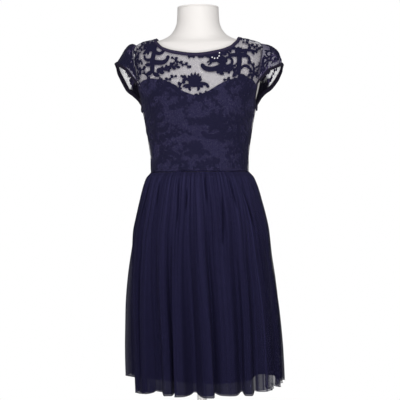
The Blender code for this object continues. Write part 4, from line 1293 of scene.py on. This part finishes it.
for side, fullness in SLEEVE_FULLNESS.items():
    grid = sleeve_points(sleeve_turns[None, :], sleeve_shares[:, None], fullness)
    behind = walked_along(grid[len(sleeve_shares) // 2])
    behind -= np.interp(0.0, sleeve_turns, behind)
    flat = np.stack(np.broadcast_arrays(behind[None, :], -SLEEVE_LENGTH * sleeve_shares[:, None]), -1)
    # A mirrored grid runs the other way round, so that its faces still look outward.
    if side == "right":
        grid, flat = grid[:, ::-1] * MIRROR, flat[:, ::-1]
    sleeve = cloth(f"cap_sleeve_{side}", grid, flat, cap_net)
    on_top = smooth_step((0.055 - flat[..., 0]) / 0.04)
    # Under the arm the cover is nearly full: the net is drawn together there, and painted shade makes it near
    # black.
    underarm_cover_and_shade = smooth_step((flat[..., 0] - 0.095) / 0.012)
    note(sleeve, "cover", 0.05 + 0.6 * on_top + 0.87 * underarm_cover_and_shade)
    hand_over(sleeve, f"sleeve_{side}")
    lines = []
    for motif, *place in SLEEVE_MOTIFS[side] + SLEEVE_MOTIFS["behind"]:
        lines += moved(motif(), *place)
    places, height, threads, faces = stitched(lines)
    turn = np.interp(places[:, 0], behind, sleeve_turns)
    share = 1 - places[:, 1] / SLEEVE_LENGTH
    inside = (places[:, 0] > behind[0] + 0.003) & (places[:, 0] < behind[-1] - 0.003)
    kept = (share > 0.04) & (share < 0.985) & inside
    share = np.clip(share, 0, 1)
    lift = (0.0001 + height)[:, None] * sleeve_normals(turn, share, fullness)
    points = sleeve_points(turn, share, fullness) + lift
    if side == "right":
        points, faces = points * MIRROR, faces[:, [0, 3, 2, 1]]
    stitches = embroidery(f"embroidery_sleeve_{side}", *keep_faces(points, threads, faces, kept))

# --- Bindings -----------------------------------------------------------------------------------
# Bias strips of navy satin. The neck's is 9 mm wide and topstitched flat; the sleeve's is 8 mm,
# folded over the free edge of the cap, wider behind, and carried on round the underarm.

NECK_LOW, NECK_HIGH = 0.0022, 0.0052
TOPSTITCH_LENGTH, TOPSTITCH_RADIUS = 0.0026, 0.0005
# Under the arm the strip lies between these lifts, and stands off further at its lowest point.
UNDERARM_LIFTS, UNDERARM_STAND_OFF = (0.0015, 0.0030 + CLOTH), 0.0030
ARM_BINDING_DEPTH, ARM_BINDING_OVERLAP = 0.0034, 0.0026
ARM_BINDING_WIDTHS = [
    # turn, width
    (-1.00, 0.0070),
    (-0.20, 0.0078),
    (0.05, 0.0085),
    (0.25, 0.0120),
    (0.42, 0.0110),
    (0.62, 0.0080),
    (1.00, 0.0070),
]


def bias_satin(name, code):
    """Bias-cut satin binding: matt, with a light bloom where it rolls over and a fine grain."""
    material, surface = new_finish(name, code, 0.6, bloom(0.12, "7a76b0"))
    grain(material, surface, 0.0011, (0.5, 0.7), 0.3, 0.0003)
    return material


# The neck's is a greyer navy than the net, the arms' is close to black.
neck_satin = bias_satin("navy_satin_neck_binding", "332e43")
arm_satin = bias_satin("dark_navy_satin_arm_binding", "201d29")

neck_angles = np.linspace(-math.pi, math.pi, 241)
neck_edge = neckline_station(neck_angles)
neck_foot = neckline_station(neck_angles, NECK_BINDING_WIDTH)
NECK_SECTION = [
    # share from the neck edge to the foot, share of the way from the low to the high lift
    (0.0, 0.0),
    (-0.02, 0.45),
    (0.04, 0.85),
    (0.12, 0.80),
    (0.20, 0.97),
    (0.50, 1.0),
    (0.80, 0.97),
    (0.88, 0.80),
    (0.96, 0.85),
    (1.02, 0.45),
    (1.0, 0.0),
]


def on_neck_band(share, lift):
    """Points round the neck, a share of the way down the band, and so far off the form."""
    return on_torso(neck_edge + share * (neck_foot - neck_edge), neck_angles, lift)


thick = NECK_HIGH - NECK_LOW
sections = np.stack([on_neck_band(share, NECK_LOW + up * thick) for share, up in NECK_SECTION], 1)
# Its two ends almost meet over the zip.
sections[0, :, 0] -= 0.0002
sections[-1, :, 0] += 0.0002
hand_over(loft("neck_band", sections, neck_satin), "neck_binding")
for row, share in (("upper", 0.14), ("lower", 0.86)):
    line, raised = [on_neck_band(share, NECK_HIGH + up)[1:-1] for up in (-0.0002, 0.0008)]
    name, out = f"neck_topstitch_{row}", unit(raised - line)
    hand_over(stitch_row(name, line, out, TOPSTITCH_LENGTH, TOPSTITCH_RADIUS))


def binding_sections(turns, edge, along, normal):
    """A rounded strip that is folded over an edge of cloth."""
    away = unit(np.cross(along, normal))
    half = follow(ARM_BINDING_WIDTHS, turns)[1][:, None] / 2
    centre = edge + (half - ARM_BINDING_OVERLAP) * away
    # Its section is a slightly squared oval.
    outline = []
    for turn in 2 * math.pi * np.arange(10) / 10:
        across, up = [math.copysign(abs(v) ** 0.7, v) for v in (math.cos(turn), math.sin(turn))]
        outline.append(centre + across * half * away + up * ARM_BINDING_DEPTH / 2 * normal)
    return np.stack(outline, 1)


def on_armhole(turns, lift):
    """Points round the left armhole, so far off the form."""
    rise, angle = armhole(turns)
    return on_torso(station_at(rise), angle, lift)


def underarm_sections(turns):
    """The strip along the lower armhole, where there is no sleeve."""
    lift = sum(UNDERARM_LIFTS) / 2 + UNDERARM_STAND_OFF * smooth_step((np.abs(turns) - 0.80) / 0.15)
    before, at, after = [on_armhole(turns + shift, lift) for shift in (-0.03, 0.0, 0.03)]
    outward = on_armhole(turns, 0.001) - on_armhole(turns, 0.0)
    return binding_sections(turns, at, unit(after - before), unit(outward))


edge_turns = np.linspace(SLEEVE_FRONT, SLEEVE_BACK, 97)
before, after = np.maximum(edge_turns - 0.015, SLEEVE_FRONT), np.minimum(edge_turns + 0.015, SLEEVE_BACK)
ones = np.ones_like(edge_turns)
under_front = underarm_sections(np.linspace(-1.0, SLEEVE_FRONT - 0.04, 24))
under_back = underarm_sections(np.linspace(SLEEVE_BACK + 0.04, 0.985, 6))
for side, fullness in SLEEVE_FULLNESS.items():
    edge = sleeve_points(edge_turns, ones, fullness)
    along = unit(sleeve_points(after, ones, fullness) - sleeve_points(before, ones, fullness))
    hem_sections = binding_sections(edge_turns, edge, along, sleeve_normals(edge_turns, ones, fullness))
    sections = np.concatenate([under_front, hem_sections, under_back])
    sections = sections[::-1] if side == "left" else sections * MIRROR
    band = loft(f"sleeve_band_{side}", sections, arm_satin, closed=True)
    hand_over(band, f"armhole_binding_{side}")

# --- Net skirt ----------------------------------------------------------------------------------
# Two plies of soft fine net, cut much wider than the waist and drawn up into small gathers that fall
# into about two dozen folds. Each ply has a narrow rolled hem.

GATHER_HEIGHTS = [
    # drop, fine, merged
    (0.000, 0.0014, 0.0000),
    (0.014, 0.0032, 0.0004),
    (0.045, 0.0022, 0.0024),
    (0.090, 0.0000, 0.0042),
    (0.220, 0.0000, 0.0034),
    (0.400, 0.0000, 0.0020),
    (0.570, 0.0000, 0.0012),
]
FOLDS = [
    # degrees, half its width in degrees, height at the hem, drop where it starts, sideways lean
    (-175, 7, 0.028, 0.060, 0.004),
    (-161, 7, 0.024, 0.110, -0.006),
    (-147, 7, 0.028, 0.050, 0.006),
    (-130, 8, 0.028, 0.090, -0.004),
    (-110, 10, 0.048, 0.100, 0.000),
    (-95, 5, 0.008, 0.120, 0.000),
    (-84, 7, 0.006, 0.080, 0.000),
    (-63, 8, 0.024, 0.060, 0.010),
    (-48, 6, 0.022, 0.130, -0.008),
    (-29, 6, 0.026, 0.040, 0.009),
    (-15, 7, 0.030, 0.100, -0.008),
    (1, 7, 0.040, 0.050, 0.010),
    (18, 11, 0.018, 0.040, 0.000),
    (36, 6, 0.024, 0.080, -0.009),
    (49, 7, 0.024, 0.050, 0.014),
    (63, 6, 0.016, 0.110, -0.008),
    (74, 5, 0.016, 0.060, 0.006),
    (86, 7, 0.010, 0.080, 0.000),
    (101, 7, 0.018, 0.050, 0.005),
    (116, 8, 0.026, 0.120, -0.006),
    (132, 8, 0.028, 0.060, 0.006),
    (147, 7, 0.026, 0.040, -0.004),
    (160, 6, 0.024, 0.090, 0.005),
    (172, 6, 0.026, 0.150, -0.004),
]


def folds_at(angle, drop):
    """How high the folds stand off the plain section, and how far they lean to the side."""
    height, lean = np.zeros(np.broadcast_shapes(angle.shape, drop.shape)), 0.0
    for degrees, half, high, start, aside in FOLDS:
        inside = np.clip(1 - np.abs(degrees_from(angle, degrees)) / half, 0, 1)
        grown = smooth_step((drop - start) / (SKIRT_LENGTH - start)) ** 0.6
        shape = smooth_step(1.7 * inside)
        height = np.maximum(height, high * grown * shape)
        lean = lean + aside * grown * shape
    return height, lean


def ridges(angle, seed, count, uneven, sharp=1.3):
    """Ridges round the skirt, from 0 to 1, no two of the same width or height. Where sharp is less
    than 1 they are broad, with narrow creases between them."""
    chance = np.random.default_rng(seed)
    widths = chance.uniform(1 - uneven, 1 + uneven, count)
    edges = np.concatenate([[0], np.cumsum(widths)]) * 2 * math.pi / widths.sum() - math.pi
    heights = chance.uniform(0.35, 1.0, count)
    angle = (angle + math.pi) % (2 * math.pi) - math.pi
    number = np.clip(np.searchsorted(edges, angle, side="right") - 1, 0, count - 1)
    share = (angle - edges[number]) / (edges[number + 1] - edges[number])
    return heights[number] * np.sin(math.pi * share) ** sharp


def gathers_at(angle, drop, seed):
    """How high the gathers are: small ones at the waist, which merge into wider ones further down.
    Then the same as a share of what is usual there."""
    _, fine, merged = follow(GATHER_HEIGHTS, drop)
    wander = 0.05 * drop * np.sin(5 * angle + seed) + 0.03 * drop * np.sin(13 * angle + 2 * seed)
    small = ridges(angle + 0.4 * wander, seed, 132, 0.8, 0.8)
    middling = ridges(angle + wander, seed + 1, 78, 0.9, 0.6)
    wide = ridges(angle + 1.6 * wander, seed + 2, 33, 0.8, 0.6)
    lower = smooth_step((drop - 0.10) / 0.30)
    high = fine * small + merged * (middling * (1 - lower) + wide * lower + 0.35 * lower * middling)
    return 1.1 * high, high / (0.6 * (fine + merged) + 1e-6)


NIPS = [
    # degrees, drop where it starts, drop where it ends, drift in degrees
    (-58, 0.010, 0.120, -3),
    (-41, 0.020, 0.090, 2),
    (-18, 0.015, 0.130, 2),
    (-9, 0.040, 0.100, -1),
    (7, 0.005, 0.080, 1),
    (22, 0.060, 0.190, -3),
    (33, 0.010, 0.100, 2),
    (46, 0.030, 0.150, 4),
    (66, 0.010, 0.110, 3),
    (-76, 0.030, 0.160, -4),
    (98, 0.020, 0.140, 2),
    (121, 0.010, 0.090, -2),
    (139, 0.050, 0.180, 3),
    (163, 0.010, 0.110, 2),
    (-170, 0.030, 0.120, -2),
    (-152, 0.010, 0.100, 3),
    (-128, 0.040, 0.170, -3),
    (-104, 0.010, 0.120, 2),
]


def nips_at(angle, drop):
    """Narrow creases, from 0 to 1, where the gathering thread has nipped the net."""
    total = 0.0
    for degrees, start, end, drift in NIPS:
        along = np.clip((drop - start) / (end - start), 0, 1)
        apart = degrees_from(angle, degrees + drift * along)
        total = total + np.exp(-((apart / 0.9) ** 2)) * np.sin(math.pi * along) ** 0.7
    return np.clip(total, 0, 1)


def streaks_at(angle, drop, seed):
    """Fine uneven streaks, from 0 to 1, where the net is more or less crowded."""
    wander = 0.06 * drop * np.sin(4 * angle + seed) + 0.02 * drop * np.sin(17 * angle + seed)
    fine = ridges(angle + wander, seed + 3, 190, 0.6)
    broad = ridges(angle + 1.4 * wander, seed + 4, 83, 0.6)
    return np.clip(0.15 + 0.45 * fine + 0.45 * broad, 0, 1)


# Soft nylon net: a fine even mesh, lighter where it is crowded, and nearly opaque where it lies in
# several layers. Its colour also holds painted light and shade: lighter near the waist and on the
# wearer's left, darker towards the hem, in the nips and between the gathers.
soft_net, soft_net_surface = new_finish("navy_soft_nylon_net", "201d33", 0.75, bloom(0.05, "5c5884", 0.5))
# Its cells are 0.7 mm across; they are drawn 1.6 mm across, so that they show.
SOFT_PITCH = 0.0016
soft_cells = hexagons(soft_net, SOFT_PITCH)
soft_cover = node(soft_net, "Attribute", attribute_name="cover").outputs["Fac"]
soft_crowd_light_and_shade = node(soft_net, "Attribute", attribute_name="crowd_light_and_shade").outputs["Fac"]
cell_depth = {"From Min": -1.5, "From Max": 3.0, "To Min": 0.09, "To Max": -0.18}
soft_holes = node(soft_net, "MapRange", {"Value": soft_cells, **cell_depth})
soft_threads = node(soft_net, "Math", {0: soft_cover, 1: soft_holes}, operation="ADD", use_clamp=True)
# Painted light and shade: the dye runs from dark to light as the attribute that holds them does.
soft_dye_light_and_shade = node(soft_net, "Mix", {"Factor": soft_crowd_light_and_shade}, data_type="RGBA")
node(soft_net, soft_dye_light_and_shade, {6: colour("141327"), 7: colour("2b2946")})
soft_bump = node(soft_net, "Bump", {"Height": soft_cells, "Strength": 0.15, "Distance": 0.0001})
node(soft_net, soft_net_surface, {"Alpha": soft_threads, "Base Color": soft_dye_light_and_shade.outputs[2]})
node(soft_net, soft_net_surface, {"Normal": soft_bump})

# Rolled hem: the net's edge rolled tight and overlocked, which makes a dark cord.
hem_thread, hem_thread_surface = new_finish("navy_overlocked_hem", "0f0e1e", 0.7, NO_GLARE)
spun(hem_thread, hem_thread_surface)

SKIRT_DROPS = np.concatenate([np.linspace(0, 0.06, 22), np.linspace(0.068, SKIRT_LENGTH, 62)])
# One layer of net lets this share of the light through.
ONE_LAYER = 0.38
PLIES = {
    # degrees round the skirt, how many layers of net lie over each other there
    "outer": [
        (-180, 2.0),
        (-114, 2.0),
        (-109, 1.1),
        (-105, 2.0),
        (-20, 2.4),
        (36, 2.4),
        (43, 1.1),
        (47, 1.1),
        (51, 0.5),
        (90, 0.5),
        (112, 1.6),
        (180, 2.0),
    ],
    "inner": [
        (-180, 2.0),
        (-128, 1.6),
        (-114, 1.2),
        (-109, 0.3),
        (-104, 1.2),
        (-84, 1.9),
        (-20, 2.4),
        (36, 2.4),
        (43, 1.0),
        (47, 1.0),
        (51, 0.35),
        (76, 0.35),
        (84, 0.0),
        (100, 0.0),
        (116, 1.4),
        (180, 2.0),
    ],
}
# Each panel's width when it is cut, front and back.
PLY_WIDTHS = {"outer": (0.62, 0.35), "inner": (0.54, 0.30)}
# Narrow tucks on the wearer's left, where the net lies over itself.
TUCKS = [
    # degrees, half width in degrees, layers
    (43.2, 0.35, 1.8),
    (46.0, 0.45, 2.6),
]
HEM_RADIUS = 0.0007


def tube(name, line, radius, material, closed=False):
    """A thin six-sided cord along a line of points."""
    along = unit(np.gradient(line, axis=0))
    aside = unit(np.cross(along, [0.0, 0.0, 1.0]))
    up = np.cross(aside, along)
    turns = 2 * math.pi * np.arange(6)[::-1, None] / 6
    ring = np.cos(turns) * aside[:, None] + np.sin(turns) * up[:, None]
    return loft(name, line[:, None] + radius * ring, material, closed=closed)


# The inner ply's folds stand out less, and it is shorter. A gap keeps it inside the outer one.
INNER_FOLDS, INNER_SHORTER, PLY_GAP = 0.62, 0.003, 0.0008
NIP_DEPTH = 0.003
SEEDS = {"outer": 11, "inner": 47}
# How far the folds' feet hang below their pattern, and the valleys' feet above it.
FOLDS_DROOP, VALLEYS_LIFT = 0.0085, 0.0042
drop_rows = SKIRT_DROPS[:, None]
# The small gathers of the waist fade down the skirt, and so does what they do to the net's colour.
# That colour is also painted lighter near the waist and darker towards the hem, as light from above.
crowded = np.exp(-drop_rows / 0.12)
fresh = np.exp(-drop_rows / 0.20)
for ply, layers in PLIES.items():
    outer_one, seed = ply == "outer", SEEDS[ply]
    for part, (first, last) in PANEL_ARCS.items():
        columns = 540 if part == "front" else 270
        angle = np.linspace(first, last, columns + 1)[None, :]
        high, lean = folds_at(angle, drop_rows)
        gathers, relief = gathers_at(angle, drop_rows, SEEDS["outer"])
        nips = nips_at(angle, drop_rows)
        full = np.maximum(high + gathers - NIP_DEPTH * nips, 0.0003)
        # The folds hang lower than the valleys between them, and end flat.
        foot = folds_at(angle, np.array([[SKIRT_LENGTH]]))[0]
        lower = FOLDS_DROOP * foot / (foot + 0.006) - VALLEYS_LIFT + 0.0008 * np.sin(19 * angle + 1)
        drop = drop_rows * (1 + lower / SKIRT_LENGTH)
        inside = 0.0002
        if not outer_one:
            own = INNER_FOLDS * high + gathers_at(angle, drop_rows, seed)[0]
            full = np.clip(np.minimum(own, full - PLY_GAP), -0.001, None)
            drop, lean = drop * (1 - INNER_SHORTER / SKIRT_LENGTH), INNER_FOLDS * lean
            inside = 0.0006
        grid = skirt_points(angle, drop, inside, full, lean)
        panel = cloth(f"skirt_{ply}_{part}", grid, flat_places(grid), soft_net)
        hand_over(panel, f"skirt_net_{part}" if outer_one else None)
        streaks = streaks_at(angle, drop_rows, seed)
        steep = np.abs(np.gradient(high, axis=1))
        folded = 0.85 + 0.3 * streaks + 0.4 * steep / steep.max()
        count = follow(layers, np.degrees(angle))[1] * folded + 2.0 * crowded
        for degrees, half_width, more in TUCKS:
            count = count + more * np.exp(-((degrees_from(angle, degrees) / half_width) ** 2))
        note(panel, "cover", 1 - ONE_LAYER ** np.clip(count, 0, 6))
        # Painted shade: the colour is darker in the valleys between the gathers, and uneven with the streaks.
        uneven = (0.1 + 0.7 * fresh) * (streaks - 0.5)
        uneven = uneven + (0.1 + 0.4 * fresh) * (np.clip(relief, 0, 1.2) - 0.8)
        # Painted light on the wearer's left, where the net hangs loosest and the high soft box falls on it;
        # painted shade in the nips.
        painted_light_left = 0.26 * np.exp(-((degrees_from(angle, 66) / 24) ** 2))
        note(panel, "crowd_light_and_shade", np.clip(0.10 + 0.57 * fresh + painted_light_left + uneven - 0.8 * nips, 0, 1))
        hem = tube(f"hem_{ply}_{part}", grid[-1], HEM_RADIUS, hem_thread)
        hand_over(hem)
        width = PLY_WIDTHS[ply][part != "front"]

# --- Seams --------------------------------------------------------------------------------------
# Plain seams pressed flat, which show as fine welts: the sides, the shoulders, the armholes, the
# princess seams of the lining, the waist, and the concealed zip that closes the back.

# Folded seam edges with their sewing, matt and close to black.
welt, welt_surface = new_finish("navy_seam_welt", "131228", 0.75, NO_GLARE)
spun(welt, welt_surface)


def on_bodice(rise, angle, off_form):
    """Points so far off the form, and as much further as the bodice's creases lift them."""
    station = station_at(rise)
    return on_torso(station, angle, off_form + crease_height(station, angle))


# The princess seams run from the waist over the fullest part of the bust.
PRINCESS_SEAM = [
    # rise, degrees from the centre front
    (0.000, 33),
    (0.080, 37),
    (0.155, 44),
    (0.222, 52),
]
seam_lines = {}
side_rises = np.linspace(0.002, UNDERARM_RISE - 0.003, 60)
princess_rises = np.linspace(0.002, PRINCESS_SEAM[-1][0], 60)
princess_angles = np.radians(np.interp(princess_rises, *np.array(PRINCESS_SEAM).T))
neck_ends = [neckline_station(angle, NECK_BINDING_WIDTH)[0] for angle in (math.pi / 2, math.pi)]
shoulder_stations = np.linspace(station_at(SHOULDER_RISE), neck_ends[0], 30)
armhole_rises, armhole_angles = armhole(np.linspace(SLEEVE_FRONT, SLEEVE_BACK, 90))
armhole_stations = station_at(armhole_rises)
for side, sign in (("left", 1), ("right", -1)):
    runs = {
        # line, radius
        "side": (on_bodice(side_rises, sign * math.pi / 2, NET_OFF_FORM + 0.0002), 0.0006),
        "shoulder": (on_torso(shoulder_stations, sign * math.pi / 2, NET_OFF_FORM + 0.0003), 0.0008),
        "armhole": (on_torso(armhole_stations, sign * armhole_angles, NET_OFF_FORM + 0.0004), 0.0007),
        "princess": (on_bodice(princess_rises, sign * princess_angles, LINING_OFF_FORM + 0.0004), 0.0006),
    }
    for seam, run in runs.items():
        seam_lines[f"{seam}_seam_{side}"] = run
waist_angles = np.linspace(-math.pi, math.pi, 241)[:-1]
# The waist seam isn't quite level: the gathers behind it push it about.
waist_rises = 0.0012 + 0.0007 * np.sin(7 * waist_angles + 1) + 0.0004 * np.sin(23 * waist_angles)
seam_lines["waist_seam"] = (on_bodice(waist_rises, waist_angles, NET_OFF_FORM), 0.0008)
zip_stations = np.linspace(station_at(0.002), neck_ends[1], 90)
seam_lines["zip_lips"] = (on_torso(zip_stations, math.pi, NET_OFF_FORM + 0.0003), 0.0006)
for name, (line, radius) in seam_lines.items():
    hand_over(tube(name, line, radius, welt, closed=name == "waist_seam"))

# The zip's woven tape, between the lining and the net, and 9 mm wide on either side of its coil.
tape_turn = 0.009 / on_torso(zip_stations, math.pi / 2, 0.0)[:, 0]
tape_corners = ((-1, 0.0024), (-1, 0.0028), (1, 0.0028), (1, 0.0024))
tape = [on_torso(zip_stations, math.pi + side * tape_turn, lift) for side, lift in tape_corners]
hand_over(loft("zip_tape", np.stack(tape, 1), arm_satin))

# --- Beads --------------------------------------------------------------------------------------
# Five small beads of pressed white glass, polished by tumbling. They are sewn on singly, in an arc
# on the embroidery below the neck.

# Opaque white glass, round and glossy, with a faint cloudiness about 1 mm across.
CLOUDS_PER_METRE = 900.0
glass, glass_surface = new_finish("white_glass_bead", "fbfbff", 0.15, {"Coat Weight": 0.5})
glass_place = node(glass, "TexCoord").outputs["Object"]
glass_cloud = node(glass, "TexNoise", {"Vector": glass_place, "Scale": CLOUDS_PER_METRE})
glass_gloss = node(glass, "MapRange", {"Value": glass_cloud, "To Min": 0.1, "To Max": 0.25})
node(glass, glass_surface, {"Roughness": glass_gloss})
BEAD_RADIUS = 0.0019
BEADS = [
    # millimetres round from the middle, millimetres up from the waist
    (41.5, 299.0),
    (47.5, 296.5),
    (55.0, 297.0),
    (59.0, 302.5),
    (60.0, 310.5),
]
bead_arc = np.linspace(0.15 - math.pi / 2, math.pi / 2 - 0.15, 9)
bead_profile = [(BEAD_RADIUS * math.cos(a), BEAD_RADIUS * math.sin(a)) for a in bead_arc]
bead_places = on_torso(*form_places(np.array(BEADS) / 1000, "front"), NET_OFF_FORM + 0.0024)
for number, place in enumerate(bead_places):
    bead = lathe(f"bead_{number + 1}", bead_profile, 14, glass)
    bead.data.transform(Matrix.Translation(place))
    hand_over(bead)
